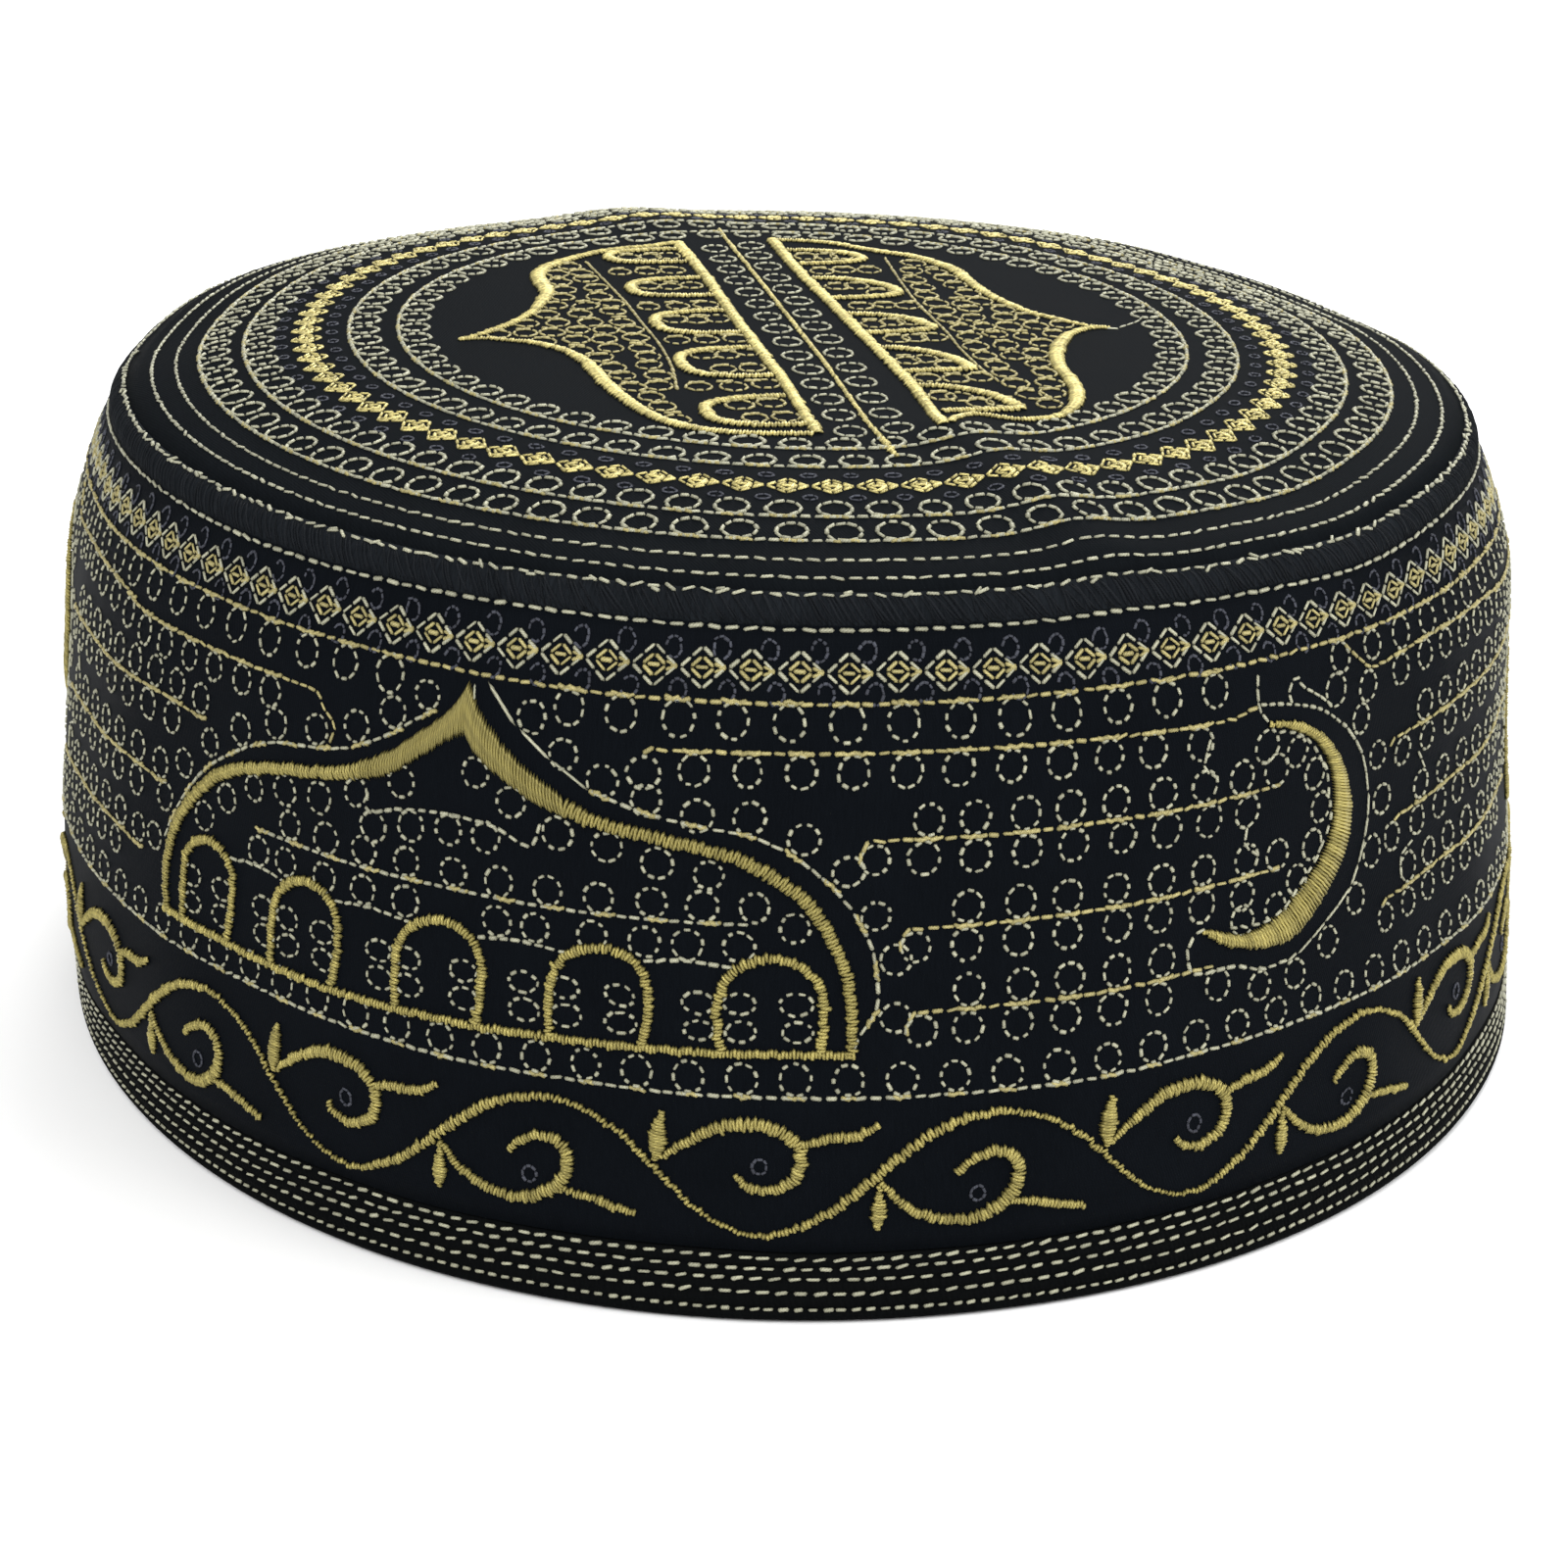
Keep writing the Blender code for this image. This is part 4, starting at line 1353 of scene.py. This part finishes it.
class CAP_OT_rim_roll(PieceOperator):
    """Makes the rolled seam at the rim and the black threads wound over it"""
    bl_idname = "cap.rim_roll"
    bl_label = "Rim Roll"

    threads: IntProperty(
        name="Threads", description="Black threads wound over the seam", default=1000, min=50)
    slant: FloatProperty(
        name="Slant", description="How far round each thread moves on its way over the seam",
        default=-0.0021, unit="LENGTH")

    def execute(self, context):
        rows = np.linspace(RIM_DISTANCE - EDGE_GAP, RIM_DISTANCE + ROLL_REACH + EDGE_LAP, 11)
        piece = cloth_net("rim_roll", [partial(rolled, row) for row in rows], "black_seam_cloth")
        map_ring(piece, rows)
        thicken(piece, context.scene.cap_cloth.wall)
        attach(piece, "root")
        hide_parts("rim_seam")
        self.wind_threads()
        return {"FINISHED"}

    def wind_threads(self):
        """Winds the threads: each a thin tube over the seam, thinner at its two ends."""
        random = np.random.default_rng(31)
        rings, sides, count = len(WOUND_TAPER), 5, self.threads
        t = np.broadcast_to(np.linspace(0.0, 1.0, rings), (count, rings))
        begin = (np.arange(count) + random.uniform(-0.4, 0.4, count)) * BASE_GIRTH / count
        slant = random.normal(self.slant / MM, 0.5, count)
        around = begin[:, None] + slant[:, None] * t
        distance = RIM_DISTANCE + EDGE_GAP + (ROLL_REACH - 0.35) * t
        centre = roll_point(around, distance)
        up = outward(roll_point, around, distance)
        ahead = roll_point(around + slant[:, None] * 0.02, distance + 0.05) - centre
        side = unit(np.cross(up, ahead))
        taper = np.array(WOUND_TAPER)[None, :, None]
        radius = WOUND_RADIUS * random.uniform(0.6, 1.5, count)[:, None, None] * taper
        turn = np.linspace(0, 2 * math.pi, sides, endpoint=False)
        ring = (
            centre[:, :, None]
            + (side * radius)[:, :, None] * np.cos(turn)[None, None, :, None]
            + (up * radius)[:, :, None] * (np.sin(turn) + 0.1)[None, None, :, None]
        )
        faces = [
            (r * sides + s, (r + 1) * sides + s, (r + 1) * sides + (s + 1) % sides,
             r * sides + (s + 1) % sides)
            for r in range(rings - 1) for s in range(sides)
        ]
        faces += [tuple(range(sides)), tuple((rings - 1) * sides + s for s in range(sides - 1, -1, -1))]
        shape = np.array([
            (r / (rings - 1) - 0.5, math.cos(a) / 2, math.sin(a) / 2) for r in range(rings) for a in turn
        ])
        tones = np.clip(random.normal(0.5, 0.25, count), 0, 1)
        threads = joined_copies(
            "rim_threads", shape, faces, ring.reshape(count, rings * sides, 3), tones,
            thread_material("black_overcast_thread"))
        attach(threads, "root")


class CAP_OT_hem_cloth(PieceOperator):
    """Makes the ribbed black hem, folded round the lower edge"""
    bl_idname = "cap.hem_cloth"
    bl_label = "Hem Cloth"

    rib_depth: FloatProperty(
        name="Rib depth", description="How deep the rows of stitches pull the hem in", default=0.00028,
        unit="LENGTH")

    def execute(self, context):
        thickness = context.scene.cap_cloth.hem / MM
        heights = np.concatenate([
            [0.0, 0.16], np.arange(HEM_CORNER, HEM_TOP - 0.5, 0.22), [HEM_TOP - 0.18, HEM_TOP]])
        outer = [partial(self.row, height, self.inset(height)) for height in heights]
        inner = [partial(self.row, height, thickness) for height in np.linspace(HEM_TOP, 0.0, 6)]
        piece = cloth_net("hem_cloth", outer + inner + [outer[0]], "ribbed_black_cloth")
        map_ring(piece, np.concatenate([heights, HEM_TOP + np.linspace(1, 8, 6), [HEM_TOP + 10]]))
        select_only(piece)
        bpy.ops.object.mode_set(mode="EDIT")
        bpy.ops.mesh.select_all(action="SELECT")
        bpy.ops.mesh.remove_doubles(threshold=0.000002)
        bpy.ops.mesh.normals_make_consistent(inside=False)
        bpy.ops.object.mode_set(mode="OBJECT")
        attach(piece, "root")
        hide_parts("hem_band")
        return {"FINISHED"}

    def inset(self, height):
        """How far the outer face is drawn in: by each row of stitches, and at both corners."""
        pulled = sum(math.exp(-((height - row) / RIB_WIDTH) ** 2) for row in HEM_ROWS)
        edge = max(0.0, 1 - height / HEM_CORNER) ** 2 + max(0.0, 1 - (HEM_TOP - height) / HEM_CORNER) ** 2
        return self.rib_depth / MM * pulled + 0.5 * edge

    def row(self, height, inward, angle):
        points = cloth_point(distance_at_height(height), angle, HEM_PROUD - inward)
        points[..., 2] = height * (1 - LEAN * points[..., 0] / HALF_WIDTH)
        return points


class CAP_OT_hem_stitches(PieceOperator):
    """Sews the rows of running stitches that hold the hem, and the row under the rim"""
    bl_idname = "cap.hem_stitches"
    bl_label = "Hem Stitches"

    pitch: FloatProperty(
        name="Pitch", description="From one stitch to the next", default=0.0019, unit="LENGTH")

    def execute(self, context):
        work = WallWork(3, surface=hem_point)
        turn = np.linspace(-math.pi, math.pi, 160)
        for row, height in enumerate(HEM_ROWS):
            waver = 0.12 * np.sin(28 * turn / 6 + row) + 0.07 * np.sin(13 * turn + 2 * row)
            u = turn / (2 * math.pi) * girth(height)
            pitch = self.pitch / MM * (LAST_ROW_PITCH if height == HEM_ROWS[-1] else 1.0)
            work.run(np.column_stack([u, height + waver]), pitch, 0.76, 0.08, shift=0.3 * row, lean=0.12)
        sew("hem_stitches", [work], "pale_gold_thread")

        rim, over = WallWork(4), WallWork(9, level=ROW_D, surface=roll_point)
        turn = np.linspace(-math.pi, math.pi, 200)
        u = turn / math.pi * (girth(ROW_D) / 2)
        edge = RIM_DISTANCE + ROLL_REACH - EDGE_GAP
        rim.run(np.column_stack([u, ROW_D - 0.25 + 0.08 * np.sin(9 * turn)]), 1.8, 0.84, 0.09)
        over.run(np.column_stack([u, edge + 0.12 * np.sin(11 * turn)]), 1.7, 0.8, 0.26)
        over.run(np.column_stack([u, edge + 0.3 * np.sin(38 * turn)]), 6.3, 0.17, 0.5)
        sew("rim_row_stitches", [rim, over], "pale_gold_thread")
        return {"FINISHED"}


class CAP_OT_diamond_borders(PieceOperator):
    """Sews the row of diamonds round the wall and the ring of diamonds on the crown"""
    bl_idname = "cap.diamond_borders"
    bl_label = "Diamond Borders"

    def execute(self, context):
        sizes = context.scene.cap_thread
        wall, knots = WallWork(5, level=DIAMOND_ROW), WallWork(55, level=DIAMOND_ROW)
        pitch = girth(DIAMOND_ROW) / sizes.wall_diamonds
        for step in range(sizes.wall_diamonds):
            centre = (DIAMOND_FIRST + step * pitch, DIAMOND_ROW + wall.random.normal(0, 0.05))
            diamond(wall, knots, centre, *WALL_DIAMOND, wall.random.normal(0, 0.03))
        sew("wall_diamonds", [wall], "pale_gold_thread")
        sew("wall_diamond_knots", [knots], "gold_line_thread")

        crown = Needlework(crown_point, 6)
        for spot, way in round_crown(DIAMOND_RING, sizes.crown_diamonds):
            diamond(crown, crown, spot, *CROWN_DIAMOND, way, fill=4)
        sew("crown_diamonds", [crown], "bright_gold_thread")
        return {"FINISHED"}


class CAP_OT_grey_rings(PieceOperator):
    """Sews the small slate grey rings beside the diamonds and inside the vine's spirals"""
    bl_idname = "cap.grey_rings"
    bl_label = "Grey Rings"

    def execute(self, context):
        sizes, thread = context.scene.cap_thread, run_width()
        wall = WallWork(7, level=DIAMOND_ROW)
        pitch = girth(DIAMOND_ROW) / sizes.wall_diamonds
        for step in range(sizes.wall_diamonds):
            for away, height in GREY_RINGS:
                centre = (DIAMOND_FIRST + step * pitch + away, height + wall.random.normal(0, 0.1))
                wall.loop(
                    centre, 1.6, 2.0, wall.random.normal(0, 0.2), 8, thread * 0.75, 1.05,
                    begin=wall.random.normal(-1.9, 0.3), share=0.85)
        vine = WallWork(10, level=VINE_LEVEL)
        for step in range(VINE_REPEATS):
            for place in vine_line(step, (UPPER_RING, LOWER_RING)):
                vine.loop(place, 1.6, 1.8, -0.3, 8, thread * 0.8, 1.05)
        sew("wall_grey_rings", [wall, vine], "slate_grey_thread")

        crown = Needlework(crown_point, 8)
        for away in (3.0, -3.0):
            ring = (DIAMOND_RING[0] + away, DIAMOND_RING[1] + away)
            for spot, way in round_crown(ring, sizes.crown_diamonds, 0.5):
                crown.loop(spot, 1.7, 1.3, way, 7, thread * 0.7, 1.1)
        sew("crown_grey_rings", [crown], "slate_grey_thread")
        return {"FINISHED"}


class CAP_OT_looped_lines(PieceOperator):
    """Sews the couched lines round the wall and the loops on them"""
    bl_idname = "cap.looped_lines"
    bl_label = "Looped Lines"

    def execute(self, context):
        ring, hoops = WallWork(11), WallWork(12)
        turn = np.linspace(-math.pi, math.pi, 140)
        for work, height, swing in ((ring, UPPER_LINE, 0.0), (hoops, LOWER_LINE, LOWER_SWING)):
            u = turn / (2 * math.pi) * girth(height)
            level = np.column_stack([u, height + 0.12 * np.sin(5 * turn) - swing * np.sin(turn) ** 3])
            work.run(level, 1.45, 0.88, 0.12)
        whole = float(girth(LOWER_LINE))
        number = even_steps(whole, LOWER_PITCH)
        for u in (LOWER_FIRST + whole * (np.arange(number) / number) + whole / 2) % whole - whole / 2:
            height = float(np.interp(u, level[:, 0], level[:, 1]))
            hoops.loop((u, height + LOWER_AWAY), 3.0, 3.2, hoops.random.normal(0, 0.06))
            ring.knot((u, height), 0.7)
        lines, loops = wall_works(13), wall_works(113)
        for line, loop in zip(lines, loops):
            self.hanging_loops(line, loop)
            self.first_line(line, loop)
            for row in LONG_LINES:
                self.long_line(line, loop, row)
        sew("wall_lines", [ring, *lines], "gold_line_thread")
        sew("wall_loops", [hoops, *loops], "pale_gold_thread")
        return {"FINISHED"}

    def hanging_loops(self, line, loop):
        """The loops of the upper line, from one dome's tip to the next."""
        far = line.room(UPPER_LINE) - UPPER_NEXT
        points = [(-50, UPPER_LINE), (far / 2, UPPER_LINE), (far + 5, UPPER_LINE)]
        for first, last in ((UPPER_FIRST, UPPER_CRESCENT[0]), (UPPER_CRESCENT[1], far)):
            loop.strung_loops(points, first, last, UPPER_PITCH, HANGING, line)

    def long_line(self, line, loop, row):
        """One line of the front: from the dome's right to the crescent, and from there to the next dome."""
        height, room = row.height, line.room(row.height)
        middle = [
            (row.start - 0.4, height - 2.7), (row.start - 0.4, height - 1.6), (row.start, height - 0.8),
            (row.start + 0.9, height - 0.3), (row.start + 5.6, height - 0.1), (10, height), (row.end, height),
        ]
        far, begin = room + row.next_end, row.restart
        side = [
            (begin, height - 0.8), (begin + 0.8, height - 0.1), (begin + 3.5, height + 0.1),
            (begin + 13, height + 0.6), ((begin + far) / 2, height + 0.6), (far - 8, height + 0.9),
            (far, height + 0.4),
        ]
        for points in (middle, side):
            line.run(points, **COUCHED)
        for away, front, beside in (
                (LOOP_AWAY, row.above, row.side_above), (-LOOP_AWAY, row.under, row.side_under)):
            feet = line if away > 0 else None
            loop.strung_loops(middle[3:], *front, LOOP_PITCH, away, feet)
            loop.strung_loops(side[1:], beside[0], room + beside[1], SIDE_PITCH, away, feet, SIDE_LOOP)
        loop.loop((row.start + 1.0, height - 2.1), 3.0, 3.2)

    def first_line(self, line, loop):
        """The line between the upper line and the long ones, with its tail by the next dome."""
        room = line.room(FIRST_LINE)
        line.run(FIRST_MIDDLE, **COUCHED)
        loop.loop((-32.5, 56.1))
        loop.strung_loops(FIRST_MIDDLE[1:5], -27.5, 22.9, 5.04, HANGING, line)
        side = [*FIRST_SIDE, (room - 100, FIRST_LINE), (room - 74.7, FIRST_LINE - 0.2)]
        line.run(side, **COUCHED)
        line.run([(line.room(rise) + u, rise) for u, rise in FIRST_TAIL], 1.3, 0.97, 0.03, width=THIN)
        loop.loop((47.4, 57.3), 2.9, 3.2)
        loop.strung_loops(side[3:], 53.3, room - 76, SIDE_PITCH, HANGING, line, SIDE_LOOP)


class CAP_OT_domes(PieceOperator):
    """Sews the domes on their arches, round the wall"""
    bl_idname = "cap.domes"
    bl_label = "Domes"

    def execute(self, context):
        satin, lines, knots, loops = (wall_works(seed) for seed in (21, 123, 27, 125))
        for work in satin:
            self.outline(work)
        for line, knot in zip(lines, knots):
            self.lines(line, knot)
        for loop in loops:
            for centre in DOME_OUTER_LOOPS + DOME_INNER_LOOPS:
                loop.loop(centre, 3.1, 3.0, loop.random.uniform(0, 3))
            for u in SMALL_LOOPS:
                for height in SMALL_LOOP_HEIGHTS:
                    loop.loop((u, height), 3.2, 2.2, loop.random.normal(0, 0.1), 8)
        sew("dome_satin", satin, "old_gold_satin_thread", SATIN_PADDING)
        sew("dome_lines", lines, "pale_gold_thread")
        sew("dome_knots", knots, "gold_line_thread")
        sew("dome_loops", loops, "pale_gold_thread")
        return {"FINISHED"}

    def outline(self, work):
        """The satin flanks, whose stitches stand upright at first, the bar and the arches on it."""
        for top, under, flank in (
                (DOME_LEFT_TOP, DOME_LEFT_UNDER, DOME_LEFT), (DOME_RIGHT_TOP, DOME_RIGHT_UNDER, DOME_RIGHT)):
            work.satin_between((DOME_APEX, *under), (DOME_TIP, *top), 0.4, PEAK_DULL)
            work.satin(flank, DOME_WIDTHS, upright=DOME_UPRIGHT, dull=FLANK_DULL)
        work.satin(DOME_BAR, (0.95, 0.95))
        for arch in ARCHES:
            work.satin(arch_line(arch), (1.15, 1.15))

    def lines(self, line, knot):
        """Running lines round the dome and over its arches, sewn over again here and there."""
        line.run(DOME_SPIRE, 2.3, 0.95, width=0.3)
        line.run(DOME_RIGHT_SLOPE, 3.9, 0.97, 0.02, width=THIN)
        for outline in (DOME_LEFT_OUTLINE, DOME_RIGHT_OUTLINE):
            line.run(outline, 1.5, 0.92, 0.06)
            knot.knots(outline, 4.9, 0.9, 1.0)
        line.run(DOME_CHORD, 1.3)
        line.run(DOME_ROW, 1.3, 0.84)
        knot.knots(DOME_ROW[::2], 5.2, 0.9, 0.5)
        for before, after in zip(ARCHES, ARCHES[1:]):
            left, right = before.right + before.lean, after.left + after.lean
            line.run([(left - 1.2, 37.3), ((left + right) / 2, 37.7), (right + 1.5, 37.2)], 1.3, 0.9, 0.1)


class CAP_OT_crescents(PieceOperator):
    """Sews the crescents with their outline, loops and thread jumps"""
    bl_idname = "cap.crescents"
    bl_label = "Crescents"

    def execute(self, context):
        satin, lines = wall_works(31), wall_works(133)
        for work, line in zip(satin, lines):
            work.satin_between(CRESCENT_OUTER, CRESCENT_INNER)
            line.run(CRESCENT_INLINE, 1.5, 0.7, 0.12)
            line.run(CRESCENT_TOP_LINE, 1.2, 0.75)
            line.run(CRESCENT_SIDE_LINE, 2.4, 1.05, 0.02, width=THIN)
            line.run(CRESCENT_TIP_LINE, 1.4, 0.92, 0.14)
            for jump in THREAD_JUMPS:
                line.run(jump, 1.3, 0.97, 0.04, width=THIN)
            for centre in CRESCENT_LOOPS:
                line.loop(centre, 3.0, 3.3, line.random.normal(0, 0.2))
        sew("crescent_satin", satin, "old_gold_satin_thread", SATIN_PADDING)
        sew("crescent_lines", lines, "pale_gold_thread")
        return {"FINISHED"}


class CAP_OT_vine(PieceOperator):
    """Sews the vine with its spirals, tails and leaf buds along the lower wall"""
    bl_idname = "cap.vine"
    bl_label = "Vine"

    def execute(self, context):
        work = WallWork(41, level=VINE_LEVEL)
        for step in range(VINE_REPEATS):
            for row in VINE_ROWS:
                work.satin(vine_line(step, row.line), row.widths, row.pitch, row.slant)
        sew("vine_satin", [work], "old_gold_satin_thread", SATIN_PADDING)
        return {"FINISHED"}


class CAP_OT_crown_rings(PieceOperator):
    """Sews the rows and looped rings round the crown"""
    bl_idname = "cap.crown_rings"
    bl_label = "Crown Rings"

    def execute(self, context):
        rows, loops, feet = (Needlework(crown_point, seed) for seed in (51, 52, 53))
        for row in (ROW_A, ROW_B):
            rows.run(oval_line(*row), 1.7, 0.84, 0.14, closed=True)
        for ring in LOOP_RINGS:
            line = oval_line(*ring)
            rows.run(line, 1.4, 0.92, 0.12, width=BOLD, closed=True)
            loops.loops_along(
                line, CROWN_LOOP_PITCH, 1.85, (3.5, 3.5), closed=True, feet=feet, cover=0.97, width=BOLD)
        sew("crown_rows", [rows], "pale_gold_thread")
        sew("crown_ring_feet", [feet], "gold_line_thread")
        sew("crown_ring_loops", [loops], "pale_gold_thread")
        return {"FINISHED"}


class CAP_OT_crown_domes(PieceOperator):
    """Sews the middle strip and the two half domes with their arches"""
    bl_idname = "cap.crown_domes"
    bl_label = "Crown Domes"

    def execute(self, context):
        satin, lines, knots, strip = (Needlework(crown_point, seed) for seed in (61, 62, 64, 65))
        for dome in HALF_DOMES:
            satin.satin(dome.bar, (1.75, 1.6, 1.5))
            satin.satin(dome.back, dome.back_widths)
            satin.satin(dome.front, dome.front_widths)
            for arch in dome.arches:
                satin.satin(self.arch(dome, *arch), (1.4, 1.5, 1.75, 1.5, 1.4))
            knots.run(dome.chord, 1.8, 0.97, 0.05)
            self.fill_arches(lines, knots, dome)
            self.fill_dome(lines, knots, dome)
        satin.satin(STRIP_END, (0.9, 0.5))
        sew("crown_satin", [satin], "bright_gold_thread", CROWN_PADDING)

        strip.twist(STRIP_LINE, swing=0.16, width=0.52)
        sew("crown_strip_line", [strip], "bright_gold_thread")
        for away, first, feet in ((2.5, 10.8, knots), (-2.5, 12.2, None)):
            lines.loops_along(
                STRIP_LINE, STRIP_LOOP_PITCH, away, (4.1, 3.5), first, 9.0,
                feet=feet, cover=0.97, width=0.43)
        lines.run(THREAD_TAIL, 1.6, 0.95, width=THIN)
        sew("crown_lines", [lines], "pale_gold_thread")
        sew("crown_knots", [knots], "gold_line_thread")
        return {"FINISHED"}

    def arch(self, dome, leaves, tip_x, tip_y, returns):
        """The line of one arch: off the bar, round its tip, and back to the bar."""
        foot = float(np.interp(-leaves, [-y for _, y in dome.bar], [x for x, _ in dome.bar]))
        tip_x -= 0.5 * dome.side

        def flank(start, bend, shares):
            climbs = [1 - (1 - share ** bend) ** (1 / bend) for share in shares]
            return [
                (foot + (tip_x - foot) * share, start + (tip_y - start) * climb)
                for share, climb in zip(shares, climbs)
            ]

        shares = (0.08, 0.35, 0.6, 0.8, 0.93, 0.99)
        return flank(leaves, dome.bend, shares) + [(tip_x, tip_y)] + flank(returns, 3.0, shares[::-1])

    def fill_arches(self, lines, knots, dome):
        """Small loops in and between the arches."""
        for y, *places in dome.loops:
            for x in places:
                knots.loop((x, y + lines.random.normal(0, 0.3)), 3.1, 3.6, 0.0, 8, cover=0.92)
            knots.knots([(places[0] - 1, y + 1.7), (places[-1] + 1, y + 1.7)], 3.2, 0.8, 1.0)

    def fill_dome(self, lines, knots, dome):
        """Rows of loops between the chord and the outline."""
        outline, chord = np.array(dome.back + dome.front), np.array(dome.chord)
        for y in np.arange(33.0, -43.0, -4.3):
            outer, inner = (np.interp(-y, -line[:, 1], line[:, 0]) for line in (outline, chord))
            room = abs(outer - inner) - 2 * FILL_MARGIN
            if room < -0.6:
                continue
            count = int(max(room, 0.0) / FILL_PITCH) + 1
            for spot in np.linspace(0.0, room, count) if count > 1 else (room / 2,):
                x = inner + dome.side * (FILL_FIRST + spot) + lines.random.normal(0, 0.2)
                centre = (x, y + lines.random.normal(0, 0.5))
                knots.loop(centre, 3.0, 3.7, lines.random.normal(0, 0.3), 8, cover=0.94)
                knots.knot((x, y + 1.8), 0.8, swing=0.4)


class CAP_OT_stage(PieceOperator):
    """Sets the pale floor, the soft studio light and the camera"""
    bl_idname = "cap.stage"
    bl_label = "Stage"

    def execute(self, context):
        self.floor()
        for lamp in LAMPS:
            self.lamp(*lamp)
        self.world(context)
        self.camera(context)
        return {"FINISHED"}

    def floor(self):
        deselect_all()
        bpy.ops.mesh.primitive_plane_add(size=FLOOR_SIZE, location=(0.0, 0.0, -FLOOR_DROP))
        floor = bpy.context.object
        floor.name = "floor"
        bpy.ops.object.transform_apply(location=True, rotation=True, scale=True)
        floor.data.materials.append(floor_material())

    def lamp(self, name, place, size, power):
        """A soft square lamp that looks at the cap."""
        light = bpy.data.lights.new(name, "AREA")
        light.shape = "SQUARE"
        light.size = size
        light.energy = power
        lamp = add_object(name, light)
        lamp.location = place
        aim = np.array([0.0, 0.0, LAMP_AIM]) - np.array(place)
        lamp.rotation_euler = (
            math.atan2(math.hypot(aim[0], aim[1]), -aim[2]), 0.0, math.atan2(-aim[0], aim[1]))

    def world(self, context):
        world = bpy.data.worlds.new("studio")
        context.scene.world = world
        world.use_nodes = True
        sky = world.node_tree.nodes["Background"]
        sky.inputs["Color"].default_value = (1.0, 1.0, 1.0, 1.0)
        sky.inputs["Strength"].default_value = SKY_STRENGTH
        context.scene.view_settings.view_transform = "Standard"

    def camera(self, context):
        distance, rise, turn = 0.400, math.radians(19.81), -0.204
        aim_height = 0.036
        lens_pixels, frame_pixels = 3278.8, 1600.0
        middle_column, middle_row = 795.9, 660.2
        eye = bpy.data.cameras.new("camera")
        eye.sensor_width = 36.0
        eye.lens = lens_pixels / frame_pixels * eye.sensor_width
        eye.shift_x = (frame_pixels / 2 - middle_column) / frame_pixels
        eye.shift_y = (middle_row - frame_pixels / 2) / frame_pixels
        eye.clip_start = 0.01
        camera = add_object("camera", eye)
        level = distance * math.cos(rise)
        camera.location = (
            level * math.sin(turn), -level * math.cos(turn), aim_height + distance * math.sin(rise))
        camera.rotation_euler = (math.pi / 2 - rise, 0.0, turn)
        context.scene.camera = camera


OPERATORS = (
    CAP_OT_hem_cloth, CAP_OT_wall_cloth, CAP_OT_rim_roll, CAP_OT_crown_cloth, CAP_OT_hem_stitches,
    CAP_OT_diamond_borders, CAP_OT_grey_rings, CAP_OT_looped_lines, CAP_OT_domes, CAP_OT_crescents,
    CAP_OT_vine, CAP_OT_crown_rings, CAP_OT_crown_domes, CAP_OT_stage,
)


class VIEW3D_PT_prayer_cap(bpy.types.Panel):
    """The cap's pieces, sizes and colours"""
    bl_label = "Prayer Cap"
    bl_space_type = "VIEW_3D"
    bl_region_type = "UI"
    bl_category = "Prayer Cap"

    def draw(self, context):
        layout = self.layout
        for group in (context.scene.cap_cloth, context.scene.cap_thread, context.scene.cap_colours):
            box = layout.box()
            for name in group.__annotations__:
                box.prop(group, name)
        for operator in OPERATORS:
            layout.operator(operator.bl_idname)


CLASSES = (CapThread, CapCloth, CapColours, *OPERATORS, VIEW3D_PT_prayer_cap)


def register():
    for kind in CLASSES:
        bpy.utils.register_class(kind)
    bpy.types.Scene.cap_thread = PointerProperty(type=CapThread)
    bpy.types.Scene.cap_cloth = PointerProperty(type=CapCloth)
    bpy.types.Scene.cap_colours = PointerProperty(type=CapColours)


def unregister():
    del bpy.types.Scene.cap_colours
    del bpy.types.Scene.cap_cloth
    del bpy.types.Scene.cap_thread
    for kind in reversed(CLASSES):
        bpy.utils.unregister_class(kind)


def main():
    register()
    bpy.ops.cap.stage()
    bpy.ops.cap.hem_cloth()
    bpy.ops.cap.wall_cloth()
    bpy.ops.cap.rim_roll()
    bpy.ops.cap.crown_cloth()
    bpy.ops.cap.hem_stitches()
    bpy.ops.cap.diamond_borders()
    bpy.ops.cap.grey_rings()
    bpy.ops.cap.looped_lines()
    bpy.ops.cap.domes()
    bpy.ops.cap.crescents()
    bpy.ops.cap.vine()
    bpy.ops.cap.crown_rings()
    bpy.ops.cap.crown_domes()


if __name__ == "__main__":
    main()
